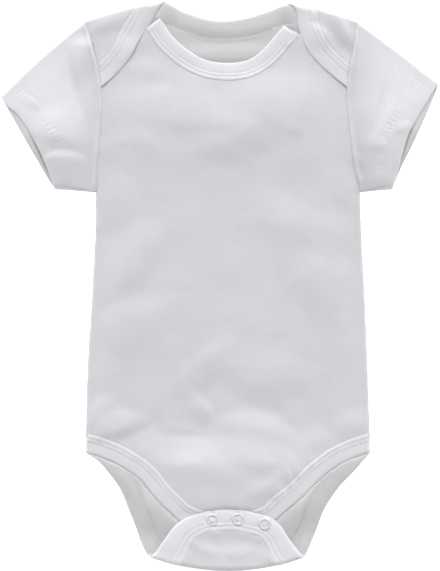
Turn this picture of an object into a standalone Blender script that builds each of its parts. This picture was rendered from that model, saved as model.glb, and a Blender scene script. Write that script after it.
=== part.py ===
# Baby bodysuit with envelope shoulders and short set-in sleeves, laid flat and face up.
#
# Every size below is in millimetres, on the surface that the garment lies on: +X runs to its right
# as seen from above, +Y to the neck and +Z up. MM turns a size into Blender's metres.
# The back is one cut: its laps fold forward over the shoulders and its tab folds up at the crotch.
# The flat cut is drawn first, and place_back() then folds it.

from collections import namedtuple
from math import ceil, cos, pi, radians, sin

import bmesh
import bpy
import numpy as np
from mathutils import Matrix, Vector
from mathutils.geometry import delaunay_2d_cdt

MM = 0.001

# Cloth
WALL = 1.0  # interlock jersey
HEM_WALL = 1.8  # turned sleeve hem
RIB = 2.0  # folded rib strip
SEAM = 0.3  # gap between two pieces that are sewn or lie together
NECK_RIB_WIDTH = 13.2
LAP_RIB_WIDTH = 15.5
LEG_RIB_WIDTH = 14.0
HEM_DEPTH = 17.0

# Cut lines, as x at the left and the right for each y, from the top down
Row = namedtuple("Row", "y left right")
ARMHOLE = (
    Row(190.5, -97.5, 98.7),
    Row(175.5, -93.0, 97.0),
    Row(160.5, -89.0, 94.5),
    Row(145.0, -86.2, 92.0),
    Row(130.0, -85.3, 91.5),
    Row(112.0, -86.0, 92.8),
    Row(89.5, -88.0, 96.0),
    Row(67.0, -89.5, 101.0),
)
SIDE = (
    Row(67.0, -89.5, 101.0),
    Row(38.0, -90.0, 102.0),
    Row(-10.5, -92.5, 104.5),
    Row(-58.5, -95.5, 106.5),
    Row(-120.5, -97.0, 108.5),
)
FRONT_NECK = (
    Row(199.0, -46.8, 52.8),
    Row(189.0, -40.0, 46.0),
    Row(180.0, -34.5, 39.5),
    Row(169.0, -22.0, 29.5),
    Row(162.3, -8.5, 18.5),
    Row(160.4, 5.0, 5.0),
)
BACK_NECK = (
    Row(201.6, -33.5, 44.0),
    Row(198.3, -27.3, 35.0),
    Row(194.0, -15.5, 22.0),
    Row(191.6, -6.5, 10.0),
    Row(191.0, 1.5, 1.5),
)
LAP_EDGE = (
    Row(199.5, -44.0, 53.6),
    Row(187.0, -51.0, 55.8),
    Row(175.0, -58.8, 60.0),
    Row(163.0, -65.0, 67.8),
    Row(151.0, -75.5, 80.3),
    Row(141.8, -85.8, 91.8),
)
FRONT_LEG = (
    Row(-120.5, -97.0, 108.5),
    Row(-125.0, -83.0, 95.0),
    Row(-131.0, -70.5, 83.5),
    Row(-140.0, -57.5, 72.0),
    Row(-152.0, -47.5, 60.0),
    Row(-162.0, -37.5, 47.5),
    Row(-170.0, -28.0, 38.5),
    Row(-175.4, -14.0, 25.0),
    Row(-176.5, 5.5, 5.5),
)
BACK_LEG = (
    Row(-120.5, -97.0, 108.5),
    Row(-126.0, -88.5, 103.5),
    Row(-133.0, -82.0, 97.5),
    Row(-146.0, -72.5, 85.5),
    Row(-162.0, -65.5, 74.5),
    Row(-175.0, -60.0, 69.5),
    Row(-187.5, -55.0, 64.0),
)
TAB_EDGE = (
    Row(-191.5, -46.5, 57.0),
    Row(-181.5, -39.5, 49.5),
    Row(-172.5, -32.5, 43.5),
    Row(-166.0, -23.0, 35.0),
    Row(-161.5, -9.0, 20.0),
    Row(-160.3, 5.5, 5.5),
)

# Sleeve hems: the front edge is set back from the rear one
Hem = namedtuple("Hem", "y front back")
HEM_LEFT = (
    Hem(136.0, -158.0, -158.0),
    Hem(130.0, -154.0, -154.6),
    Hem(122.0, -145.0, -149.9),
    Hem(112.0, -138.0, -144.0),
    Hem(100.0, -131.0, -137.0),
    Hem(89.0, -125.8, -130.5),
    Hem(78.0, -121.6, -124.1),
    Hem(68.5, -118.5, -118.5),
)
HEM_RIGHT = (
    Hem(145.0, 158.0, 158.0),
    Hem(141.0, 154.5, 156.3),
    Hem(131.0, 148.5, 152.0),
    Hem(120.0, 141.5, 147.0),
    Hem(108.5, 135.0, 141.5),
    Hem(96.0, 131.0, 135.5),
    Hem(81.5, 127.2, 128.4),
    Hem(68.5, 123.5, 123.5),
)

# Heights above the surface
FRONT_LOW = WALL + SEAM  # underside of the front, at the side seams and on the tab
FRONT_HIGH = RIB + SEAM  # underside of the front, where it crosses the back's binding
LAP_LOW = FRONT_HIGH + RIB + SEAM  # underside of a lap, on the front's binding
TAB_LOW = FRONT_LOW + RIB + SEAM  # underside of the back tab, at its fold
SNAP_ROOM = 2.4  # how far the snaps hold the two tabs apart
PILLOW = 1.1  # how far the body of the front stands above its edges
CUFF_TOP = 4.6
SLEEVE_SWELL = 0.8  # how far the middle of a sleeve stands above its two ends
SLEEVE_ROOM = 0.6  # between the two layers of a sleeve beside its armhole

# Changes of height along the garment: from y over reach, which is less than 0 towards the crotch
Ramp = namedtuple("Ramp", "y reach")
UNDERARM_RISE = Ramp(66.0, 26.0)
HIP_RISE = Ramp(-88.0, -14.0)
CHEST_RISE = Ramp(132.0, -40.0)
BELLY_RISE = Ramp(-118.0, 30.0)
TAB_FALL = Ramp(-140.0, -16.0)
SHOULDER_RISE = Ramp(132.0, 16.0)
SIDE_REACH = 20.0  # how far in from a side seam the front comes up to its full height

# Folds of the cloth: from one end to the other, half width, and height
Crease = namedtuple("Crease", "x1 y1 x2 y2 reach height")
FRONT_CREASES = (
    Crease(-55, 128, -18, 60, 16, 0.9),
    Crease(62, 122, 22, 52, 17, 0.8),
    Crease(-44, 38, -76, -30, 13, 0.9),
    Crease(44, 22, 82, -46, 14, 0.9),
    Crease(-8, -46, -82, -98, 10, 1.0),
    Crease(-28, -92, 46, -96, 18, 1.2),
    Crease(28, -66, 66, -112, 10, 0.8),
)
SLEEVE_CREASES = (
    Crease(-126, 94, -98, 87, 7, 1.0),
    Crease(-122, 132, -104, 106, 9, 0.8),
    Crease(128, 108, 106, 88, 7, 1.0),
    Crease(124, 140, 104, 122, 9, 0.8),
)

# Snaps, on the middle of the tab's binding
Snap = namedtuple("Snap", "x y")
SNAPS = (Snap(-5.5, -168.0), Snap(13.0, -167.6), Snap(32.0, -171.0))
SNAP_RADIUS = 4.45
SNAP_HOLE = 2.5
SNAP_PLATE = 0.9
SNAP_EDGE = 0.3
STUD_RADIUS = 1.5
STUD_HEIGHT = 1.9
SNAP_STEPS = 24

# How finely the curves and the faces are cut
EDGE_STEP = 6.5
PANEL_STEP = 12.0
FRONT_STEP = 10.5
FOLD_STEPS = 6
BEND_POINTS = 9
ARMHOLE_STEP = 1.0
SLEEVE_POINTS = 10  # across each layer of a sleeve
SLEEVE_TURNS = 5  # round each of its folds
SLEEVE_RINGS = 5  # from the armhole to the hem
OUTLINE_CLEAR = 0.42  # nearest that an inner point comes to a cut line, as a share of a step
BEND_CLEAR = 0.35  # and to a line of a bend
SMOOTH_ANGLE = radians(50)

# The sheet that the back is cut from, and how far each fold runs along its own line
CUT_HALF_WIDTH = 170.0
CUT_BOTTOM = -260.0
CUT_TOP = 300.0
LEFT_SHOULDER_SPAN = (-75.0, 35.0)
RIGHT_SHOULDER_SPAN = (-25.0, 75.0)
CROTCH_SPAN = (-77.0, 66.0)

SLEEVE_LENGTH = 60.0
HEM_TURN = 0.02  # the step up to the hem's wall, as a share of the sleeve's length
FOLD_MARGIN = 1.0  # the armhole's points keep this far from the bend of the shoulder
LAP_MARGIN = 2.0  # and this far from the end of the lap
SHOULDER_INSET = 4.5  # the front stops this far inside the fold of the shoulder

WHITE_JERSEY = (0.80, 0.80, 0.83)
WHITE_RIB = (0.83, 0.83, 0.86)
WHITE_ENAMEL = (0.84, 0.84, 0.86)


# Curves in the plane

def smooth(x):
    x = min(max(x, 0.0), 1.0)
    return x * x * (3 - 2 * x)


def ramp_share(ramp, y):
    return smooth((y - ramp.y) / ramp.reach)


def curve(points, step):
    """A smooth line through the points, cut into pieces about one step long."""
    points = [np.array(p, float) for p in points]
    padded = [2 * points[0] - points[1], *points, 2 * points[-1] - points[-2]]
    out = []
    for a, b, c, d in zip(padded, padded[1:], padded[2:], padded[3:]):
        length = np.linalg.norm(c - b)
        leave = (c - a) / np.linalg.norm(c - a) * length
        arrive = (d - b) / np.linalg.norm(d - b) * length
        count = max(1, round(length / step))
        for k in range(count):
            t = k / count
            out.append(
                (2 * t**3 - 3 * t**2 + 1) * b
                + (t**3 - 2 * t**2 + t) * leave
                + (3 * t**2 - 2 * t**3) * c
                + (t**3 - t**2) * arrive
            )
    return [*out, points[-1]]


def down_and_up(rows):
    """The points of a table from the top left, along its lowest row, to the top right."""
    left = [(row.left, row.y) for row in rows]
    right = [(row.right, row.y) for row in reversed(rows)]
    return left + (right[1:] if left[-1] == right[0] else right)


def lengthened(line, extra):
    first = line[0] + (line[0] - line[1]) / np.linalg.norm(line[0] - line[1]) * extra
    last = line[-1] + (line[-1] - line[-2]) / np.linalg.norm(line[-1] - line[-2]) * extra
    return [first, *line, last]


def beside(line, distance):
    """The line moved to its left by a distance."""
    line = np.array(line)
    along = np.gradient(line, axis=0)
    along /= np.linalg.norm(along, axis=1)[:, None]
    return list(line + distance * np.stack([-along[:, 1], along[:, 0]], axis=1))


def band(line, width):
    """The strip that a width of binding covers, on the left of the line."""
    long_line = lengthened(line, 2 * LAP_RIB_WIDTH)
    return long_line + beside(long_line, width)[::-1]


def edge_x(rows, y, side):
    """Where a table's line stands at a height y."""
    heights = [row.y for row in reversed(rows)]
    places = [getattr(row, side) for row in reversed(rows)]
    return float(np.interp(y, heights, places))


# The folds of the back

# A fold bends the cut round half a circle. outward points across it, out of the garment. The bend
# starts where a point's way along outward reaches start - bow * (way along the fold - middle) ** 2.
# Past the bend the cloth rises by lift within reach.
Fold = namedtuple("Fold", "outward start bow middle radius lift reach")

SHOULDER_SLOPE = radians(14.4)
SHOULDER_BOW = 0.0015
SHOULDER_LENGTH = 58.0
SHOULDER_RADIUS = (LAP_LOW - WALL) / 2
CROTCH_RADIUS = (TAB_LOW - WALL) / 2
CROTCH_BOTTOM = -205.5
CROTCH_BOW = 0.0032
TAB_REACH = 24.0  # the tab comes up to the snaps within this
CENTRE = 5.5


def way_along(outward, point):
    return point[0] * outward[1] - point[1] * outward[0]


def shoulder_fold(side):
    slope = SHOULDER_SLOPE if side == "left" else -SHOULDER_SLOPE
    outward = np.array([-sin(slope), cos(slope)])
    tip = np.array([getattr(ARMHOLE[0], side), ARMHOLE[0].y])
    half = SHOULDER_LENGTH / 2
    middle = way_along(outward, tip) + (half if side == "left" else -half)
    start = tip @ outward - SHOULDER_RADIUS - WALL + SHOULDER_BOW * half**2
    return Fold(outward, start, SHOULDER_BOW, middle, SHOULDER_RADIUS, 0.0, 1.0)


LEFT_SHOULDER = shoulder_fold("left")
RIGHT_SHOULDER = shoulder_fold("right")
CROTCH = Fold(
    np.array([0.0, -1.0]),
    -CROTCH_BOTTOM - CROTCH_RADIUS - WALL,
    CROTCH_BOW,
    -CENTRE,
    CROTCH_RADIUS,
    SNAP_ROOM,
    TAB_REACH,
)


def past(fold, point):
    """How far a point lies beyond the start of a fold; less than 0 is inside the garment."""
    bowed = fold.bow * (way_along(fold.outward, point) - fold.middle) ** 2
    return float(point @ fold.outward - fold.start + bowed)


def unfolded(fold, x, y):
    """Where a point of the folded layer lies in the flat cut."""
    point = np.array([x, y], float)
    inside = -past(fold, point)
    return point + fold.outward * (2 * inside + pi * fold.radius)


def fold_at(point):
    if point[1] < 0:
        return CROTCH
    return LEFT_SHOULDER if point[0] < CENTRE else RIGHT_SHOULDER


def place_back(point):
    """The inner face of the back at a point of its cut, the way out of the cloth, and the
    share of the bend behind it: 0 on the surface, 1 on the layer folded over."""
    fold = fold_at(point)
    beyond = past(fold, point)
    turn = min(max(beyond / fold.radius, 0.0), pi)
    after = max(beyond - pi * fold.radius, 0.0)
    shift = fold.radius * sin(turn) - max(beyond, 0.0) - after
    x, y = point + fold.outward * shift
    z = WALL + fold.radius * (1 - cos(turn)) + fold.lift * smooth(after / fold.reach)
    out = Vector((*(fold.outward * sin(turn)), -cos(turn)))
    return Vector((x, y, z)), out, turn / pi


# The height of the front

def crease_height(creases, x, y):
    """Ridges of cloth, each highest at its middle and fading to both ends."""
    height = 0.0
    for crease in creases:
        run = np.array([crease.x2 - crease.x1, crease.y2 - crease.y1], float)
        length = np.linalg.norm(run)
        run /= length
        place = np.array([x - crease.x1, y - crease.y1])
        along = (place @ run) / length
        across = (place[0] * run[1] - place[1] * run[0]) / crease.reach
        if 0 < along < 1 and abs(across) < 1:
            height += crease.height * sin(pi * along) * (1 - smooth(abs(across)))
    return height


def front_edge_low(y):
    """The underside of the front at its side seams and armholes."""
    rise = max(ramp_share(UNDERARM_RISE, y), ramp_share(HIP_RISE, y))
    return FRONT_LOW + (FRONT_HIGH - FRONT_LOW) * rise


def place_front(point):
    x, y = point
    rows = ARMHOLE if y > SIDE[0].y else SIDE
    inset = min(x - edge_x(rows, y, "left"), edge_x(rows, y, "right") - x)
    body = ramp_share(CHEST_RISE, y) * ramp_share(BELLY_RISE, y)
    inner = FRONT_HIGH + body * (PILLOW + crease_height(FRONT_CREASES, x, y))
    inner += ramp_share(TAB_FALL, y) * (FRONT_LOW - inner)
    edge = front_edge_low(y)
    z = edge + (inner - edge) * smooth(inset / SIDE_REACH)
    return Vector((x, y, z)), Vector((0, 0, 1)), 1.0


# Cutting out and making up

def inside(points, outline):
    """Which of the points lie inside a closed outline."""
    outline = np.array(outline)
    found = np.zeros(len(points), bool)
    for (x1, y1), (x2, y2) in zip(outline, np.roll(outline, -1, axis=0)):
        if y1 == y2:
            continue
        crosses = (y1 > points[:, 1]) != (y2 > points[:, 1])
        found ^= crosses & (points[:, 0] < (x2 - x1) * (points[:, 1] - y1) / (y2 - y1) + x1)
    return found


def clear_of(points, line, distance):
    """Which of the points lie further than a distance from a line."""
    line = np.array(line)
    found = np.ones(len(points), bool)
    for start, end in zip(line, line[1:]):
        run = end - start
        share = np.clip((points - start) @ run / max(run @ run, 1e-9), 0, 1)
        nearest = start + share[:, None] * run
        found &= np.linalg.norm(points - nearest, axis=1) > distance
    return found


def lattice(step):
    """Evenly spread points over the whole cut."""
    rows = range(ceil(CUT_BOTTOM / step), ceil(CUT_TOP / step))
    columns = range(ceil(-CUT_HALF_WIDTH / step), ceil(CUT_HALF_WIDTH / step))
    return np.array([((i + 0.5 * (j % 2)) * step, j * step) for j in rows for i in columns])


def cut_out(within, without, creased, step):
    """Triangles of the cloth that lies in every outline of within and in none of without.
    The lines in creased are kept as edges, so that the cloth bends along them."""
    outlines = [*within, *without]
    points = lattice(step)
    for outline in within:
        points = points[inside(points, outline)]
    for outline in without:
        points = points[~inside(points, outline)]
    for outline in outlines:
        points = points[clear_of(points, [*outline, outline[0]], OUTLINE_CLEAR * step)]
    for line in creased:
        points = points[clear_of(points, line, BEND_CLEAR * step)]
    corners = [Vector(p) for p in points]
    faces = []
    for outline in outlines:
        faces.append(list(range(len(corners), len(corners) + len(outline))))
        corners += [Vector(p) for p in outline]
    edges = []
    for line in creased:
        first = len(corners)
        corners += [Vector(p) for p in line]
        edges += [(k, k + 1) for k in range(first, len(corners) - 1)]
    found, _, triangles, _, _, sources = delaunay_2d_cdt(corners, edges, faces, 0, 0.001)
    wanted = set(range(len(within)))
    kept = [t for t, source in zip(triangles, sources) if set(source) == wanted]
    return [np.array(p) for p in found], kept


def make_object(name, mesh, material):
    mesh.materials.append(material)
    mesh.shade_smooth()
    mesh.set_sharp_from_angle(angle=SMOOTH_ANGLE)
    made = bpy.data.objects.new(name, mesh)
    bpy.context.scene.collection.objects.link(made)
    return made


def make_cloth(name, cut, place, thickness, on_top, material):
    """A wall of cloth on the cut. Where the cloth is folded over, and on the front, it stands
    up from its inner face; on the surface it stands down to it. on_top says that a thick
    strip keeps its inner face level with the panel's."""
    points, triangles = cut
    used = sorted({corner for triangle in triangles for corner in triangle})
    shape = bmesh.new()
    skins = {}
    for corner in used:
        inner, out, folded = place(points[corner])
        sunk = (thickness - WALL) * (1 - folded) if on_top else 0.0
        skins[corner] = (
            shape.verts.new((inner - out * sunk) * MM),
            shape.verts.new((inner + out * (thickness - sunk)) * MM),
        )
    rim = {}
    for triangle in triangles:
        shape.faces.new([skins[corner][1] for corner in triangle])
        shape.faces.new([skins[corner][0] for corner in reversed(triangle)])
        for a, b in zip(triangle, [*triangle[1:], triangle[0]]):
            rim[a, b] = (b, a) not in rim
            if not rim[a, b]:
                rim[b, a] = False
    for (a, b), free in rim.items():
        if free:
            shape.faces.new((skins[a][0], skins[b][0], skins[b][1], skins[a][1]))
    bmesh.ops.recalc_face_normals(shape, faces=shape.faces)
    mesh = bpy.data.meshes.new(name)
    shape.to_mesh(mesh)
    shape.free()
    return make_object(name, mesh, material)


def bend_lines(fold, span):
    """Lines along a fold, one for each step of its half circle."""
    tangent = np.array([fold.outward[1], -fold.outward[0]])
    lines = []
    for step in range(FOLD_STEPS + 1):
        turned = fold.start + pi * fold.radius * step / FOLD_STEPS
        places = np.linspace(*span, BEND_POINTS)
        lines.append(
            [
                tangent * along + fold.outward * (turned - fold.bow * (along - fold.middle) ** 2)
                for along in places
            ]
        )
    return lines


# Outlines of the cuts

def armhole(side):
    return curve([(getattr(row, side), row.y) for row in reversed(ARMHOLE)], EDGE_STEP)


def side_seam(side):
    return curve([(getattr(row, side), row.y) for row in reversed(SIDE)], 3 * EDGE_STEP)


def lap(side, fold):
    """The free edge of a lap in the flat cut, from its end at the armhole to the fold."""
    return [unfolded(fold, getattr(row, side), row.y) for row in reversed(LAP_EDGE)]


def back_neck_line():
    """The whole bound edge, from the end of the left lap to the end of the right one."""
    points = lap("left", LEFT_SHOULDER)
    points += [np.array(p) for p in down_and_up(BACK_NECK)]
    points += lap("right", RIGHT_SHOULDER)[::-1]
    return curve(points, EDGE_STEP)


def back_leg_line():
    tab = [unfolded(CROTCH, x, y) for x, y in down_and_up(TAB_EDGE)]
    left = [(row.left, row.y) for row in BACK_LEG]
    right = [(row.right, row.y) for row in reversed(BACK_LEG)]
    return curve([*left, *tab, *right], EDGE_STEP)


def back_armhole(side, fold):
    """The armhole from the underarm up to the fold, over it and down the lap to its end."""
    edge = armhole(side)
    laid = [p for p in edge if past(fold, p) < -FOLD_MARGIN]
    after = edge[len(laid)]
    share = past(fold, laid[-1]) / (past(fold, laid[-1]) - past(fold, after))
    last = laid[-1] + (after - laid[-1]) * share
    lowest = LAP_EDGE[-1].y + LAP_MARGIN
    over = [unfolded(fold, *p) for p in reversed(laid) if p[1] > lowest]
    return [*laid, last, last + fold.outward * pi * fold.radius, *over]


def back_outline():
    right = side_seam("right")[:-1] + back_armhole("right", RIGHT_SHOULDER)
    left = side_seam("left")[:-1] + back_armhole("left", LEFT_SHOULDER)
    return back_leg_line()[:-1] + right + back_neck_line()[::-1] + left[:0:-1]


def front_neck_line():
    return curve(down_and_up(FRONT_NECK), EDGE_STEP)


def front_leg_line():
    return curve(down_and_up(FRONT_LEG), EDGE_STEP)


def front_outline():
    sides = {}
    for side, fold in (("left", LEFT_SHOULDER), ("right", RIGHT_SHOULDER)):
        room = SHOULDER_INSET - WALL - SHOULDER_RADIUS
        reached = [p for p in armhole(side) if past(fold, p) < -room]
        sides[side] = side_seam(side)[:-1] + reached
    neck = front_neck_line()[::-1]
    return front_leg_line()[:-1] + sides["right"] + neck + sides["left"][:0:-1]


# Sleeves

def sleeve_ring(side, hems, share, wall):
    """One closed ring round the flattened sleeve, a share of the way from armhole to hem:
    along the surface, round the shoulder fold, back over the top and round the underarm."""
    line = np.array(curve([(getattr(row, side), row.y) for row in ARMHOLE], ARMHOLE_STEP))
    away = np.array([-SEAM if side == "left" else SEAM, 0.0])
    shoulder = LEFT_SHOULDER if side == "left" else RIGHT_SHOULDER

    def across(points, v):
        lengths = np.concatenate([[0], np.cumsum(np.linalg.norm(np.diff(points, axis=0), axis=1))])
        return np.array([np.interp(v * lengths[-1], lengths, points[:, k]) for k in (0, 1)])

    def at(v, layer):
        hem = np.array([(getattr(row, layer), row.y) for row in hems])
        return (across(line, v) + away) * (1 - share) + across(hem, v) * share

    def top(v):
        x, y = at(v, "front")
        start = max(front_edge_low(y) + WALL, 2 * WALL + SLEEVE_ROOM)
        start += (LAP_LOW + WALL - start) * ramp_share(SHOULDER_RISE, y)
        full = start + (CUFF_TOP - start) * smooth(share)
        swell = 4 * v * (1 - v) * sin(pi * share)
        return full + swell * (SLEEVE_SWELL + crease_height(SLEEVE_CREASES, x, y))

    length = np.linalg.norm(at(0, "back") - at(1, "back"))
    radii = [top(end) / 2 for end in (0, 1)]
    low, high = radii[0] / length, 1 - radii[1] / length
    ring = []
    for v in np.linspace(high, low, SLEEVE_POINTS):
        ring.append((Vector((*at(v, "back"), 0)), Vector((0, 0, -1))))
    for end, v in ((0, low), (1, high)):
        outward = at(end, "back") - at(v, "back")
        outward /= np.linalg.norm(outward)
        if end == 0:
            outward = outward * share + shoulder.outward * (1 - share)
            outward /= np.linalg.norm(outward)
        for turn in np.linspace(0, pi, SLEEVE_TURNS + 1)[1:-1]:
            angle = turn if end == 0 else pi - turn
            plan = at(v, "back") * (1 - angle / pi) + at(v, "front") * angle / pi
            plan = plan + outward * radii[end] * sin(angle)
            height = radii[end] * (1 - cos(angle))
            out = Vector((*(outward * sin(angle)), -cos(angle)))
            ring.append((Vector((*plan, height)), out))
        if end == 0:
            for v in np.linspace(low, high, SLEEVE_POINTS):
                ring.append((Vector((*at(v, "front"), top(v))), Vector((0, 0, 1))))
    return [(point * MM, (point - out * wall) * MM) for point, out in ring]


def make_sleeve(name, side, hems, material):
    hem_share = 1 - HEM_DEPTH / SLEEVE_LENGTH
    stations = [(share, WALL) for share in np.linspace(0, hem_share - HEM_TURN, SLEEVE_RINGS)]
    stations += [(share, HEM_WALL) for share in (hem_share, (1 + hem_share) / 2, 1)]
    shape = bmesh.new()
    skins = []
    for share, wall in stations:
        ring = sleeve_ring(side, hems, share, wall)
        skins.append([[shape.verts.new(point[k]) for point in ring] for k in (0, 1)])
    size = len(skins[0][0])
    for layer in (0, 1):
        for here, there in zip(skins, skins[1:]):
            for k in range(size):
                n = (k + 1) % size
                shape.faces.new((here[layer][k], here[layer][n], there[layer][n], there[layer][k]))
    for outer, inner in (skins[0], skins[-1]):
        for k in range(size):
            n = (k + 1) % size
            shape.faces.new((outer[k], outer[n], inner[n], inner[k]))
    bmesh.ops.recalc_face_normals(shape, faces=shape.faces)
    mesh = bpy.data.meshes.new(name)
    shape.to_mesh(mesh)
    shape.free()
    return make_object(name, mesh, material)


# Snaps

def make_turned(name, profile, place, material):
    """A piece turned about its upright axis from a closed profile of (radius, height)."""
    shape = bmesh.new()
    corners = [shape.verts.new((radius * MM, 0, height * MM)) for radius, height in profile]
    loop = [shape.edges.new((a, b)) for a, b in zip(corners, corners[1:] + corners[:1])]
    bmesh.ops.spin(
        shape,
        geom=corners + loop,
        cent=(0, 0, 0),
        axis=(0, 0, 1),
        angle=2 * pi,
        steps=SNAP_STEPS,
        use_merge=True,
    )
    bmesh.ops.remove_doubles(shape, verts=shape.verts, dist=1e-6)
    bmesh.ops.recalc_face_normals(shape, faces=shape.faces)
    bmesh.ops.transform(shape, matrix=Matrix.Translation(place * MM), verts=shape.verts)
    mesh = bpy.data.meshes.new(name)
    shape.to_mesh(mesh)
    shape.free()
    return make_object(name, mesh, material)


def make_snap(number, snap, material):
    """A fastened ring snap: a stud on the front tab, its socket and the cap ring outside."""
    front_top = FRONT_LOW + RIB
    tab_under = TAB_LOW + SNAP_ROOM
    plate, knob, edge = SNAP_PLATE, STUD_HEIGHT, SNAP_EDGE
    stud = [
        (0.001, 0),
        (SNAP_RADIUS - edge, 0),
        (SNAP_RADIUS, edge),
        (SNAP_RADIUS, plate - edge),
        (SNAP_RADIUS - edge, plate),
        (STUD_RADIUS, plate),
        (STUD_RADIUS, knob - edge),
        (STUD_RADIUS - edge, knob),
        (0.001, knob),
    ]
    bore = STUD_RADIUS + SEAM
    socket = [
        (bore, 0),
        (SNAP_RADIUS - edge, 0),
        (SNAP_RADIUS, edge),
        (SNAP_RADIUS, plate - edge),
        (SNAP_RADIUS - edge, plate),
        (bore, plate),
    ]
    cap = [
        (SNAP_HOLE, 0),
        (SNAP_RADIUS, 0),
        (SNAP_RADIUS, 0.5 * plate),
        (SNAP_RADIUS - edge, 0.85 * plate),
        ((SNAP_RADIUS + SNAP_HOLE) / 2, plate),
        (SNAP_HOLE + edge, 0.85 * plate),
        (SNAP_HOLE, 0.5 * plate),
    ]
    stud_low = front_top + SEAM
    socket_low = tab_under - SEAM - plate
    cap_low = tab_under + RIB + SEAM
    for label, profile, low in (
        ("stud", stud, stud_low),
        ("socket", socket, socket_low),
        ("cap", cap, cap_low),
    ):
        place = Vector((snap.x, snap.y, low))
        make_turned(f"snap_{label}_{number}", profile, place, material)


# The garment

def make_material(name, color, roughness):
    material = bpy.data.materials.new(name)
    material.use_nodes = True
    surface = material.node_tree.nodes["Principled BSDF"]
    surface.inputs["Base Color"].default_value = (*color, 1)
    surface.inputs["Roughness"].default_value = roughness
    surface.inputs["Metallic"].default_value = 0.0
    return material


def main():
    for item in list(bpy.data.objects):
        bpy.data.objects.remove(item)
    jersey = make_material("interlock", WHITE_JERSEY, 0.9)
    rib = make_material("rib", WHITE_RIB, 0.88)
    enamel = make_material("snap", WHITE_ENAMEL, 0.35)

    outline = back_outline()
    neck, leg = back_neck_line(), back_leg_line()
    bends = bend_lines(LEFT_SHOULDER, LEFT_SHOULDER_SPAN)
    bends += bend_lines(RIGHT_SHOULDER, RIGHT_SHOULDER_SPAN)
    bends += bend_lines(CROTCH, CROTCH_SPAN)
    neck_gap = band(neck, -(LAP_RIB_WIDTH + SEAM))[::-1]
    leg_gap = band(leg, LEG_RIB_WIDTH + SEAM)
    panel = cut_out([outline], [neck_gap, leg_gap], bends, PANEL_STEP)
    make_cloth("back_panel", panel, place_back, WALL, False, jersey)
    strip = cut_out([outline, band(neck, -LAP_RIB_WIDTH)[::-1]], [], bends, EDGE_STEP)
    make_cloth("back_neck_binding", strip, place_back, RIB, True, rib)
    strip = cut_out([outline, band(leg, LEG_RIB_WIDTH)], [], bends, EDGE_STEP)
    make_cloth("back_leg_binding", strip, place_back, RIB, True, rib)

    outline = front_outline()
    neck, leg = front_neck_line(), front_leg_line()
    neck_gap = band(neck, -(NECK_RIB_WIDTH + SEAM))[::-1]
    leg_gap = band(leg, LEG_RIB_WIDTH + SEAM)
    panel = cut_out([outline], [neck_gap, leg_gap], [], FRONT_STEP)
    make_cloth("front_panel", panel, place_front, WALL, False, jersey)
    strip = cut_out([outline, band(neck, -NECK_RIB_WIDTH)[::-1]], [], [], EDGE_STEP)
    make_cloth("front_neck_binding", strip, place_front, RIB, False, rib)
    strip = cut_out([outline, band(leg, LEG_RIB_WIDTH)], [], [], EDGE_STEP)
    make_cloth("front_leg_binding", strip, place_front, RIB, False, rib)

    make_sleeve("sleeve_right", "left", HEM_LEFT, jersey)
    make_sleeve("sleeve_left", "right", HEM_RIGHT, jersey)
    for number, snap in enumerate(SNAPS, 1):
        make_snap(number, snap, enamel)


main()
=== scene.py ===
from math import cos, pi, radians, sin

import bmesh
import bpy
import numpy as np
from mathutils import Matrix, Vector, noise
from mathutils.geometry import delaunay_2d_cdt


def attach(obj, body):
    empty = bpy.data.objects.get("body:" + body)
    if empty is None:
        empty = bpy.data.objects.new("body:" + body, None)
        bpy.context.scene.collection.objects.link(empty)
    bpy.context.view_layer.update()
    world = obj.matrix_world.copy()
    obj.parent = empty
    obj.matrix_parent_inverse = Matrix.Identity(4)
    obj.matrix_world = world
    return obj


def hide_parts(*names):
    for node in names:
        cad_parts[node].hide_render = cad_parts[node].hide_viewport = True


# Baby bodysuit lying flat, face up. Tables are in millimetres on the table top, +Y to the neck.
# The back is one cut: its laps fold forward over the shoulders and its tab folds up at the crotch.

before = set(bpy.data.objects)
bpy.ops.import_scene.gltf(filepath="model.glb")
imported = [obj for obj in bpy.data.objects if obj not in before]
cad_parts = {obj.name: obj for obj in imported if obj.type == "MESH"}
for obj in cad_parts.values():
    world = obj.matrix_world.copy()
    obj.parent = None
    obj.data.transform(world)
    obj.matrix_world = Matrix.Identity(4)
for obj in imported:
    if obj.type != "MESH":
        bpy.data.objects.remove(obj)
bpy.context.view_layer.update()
mm = 0.001

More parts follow.
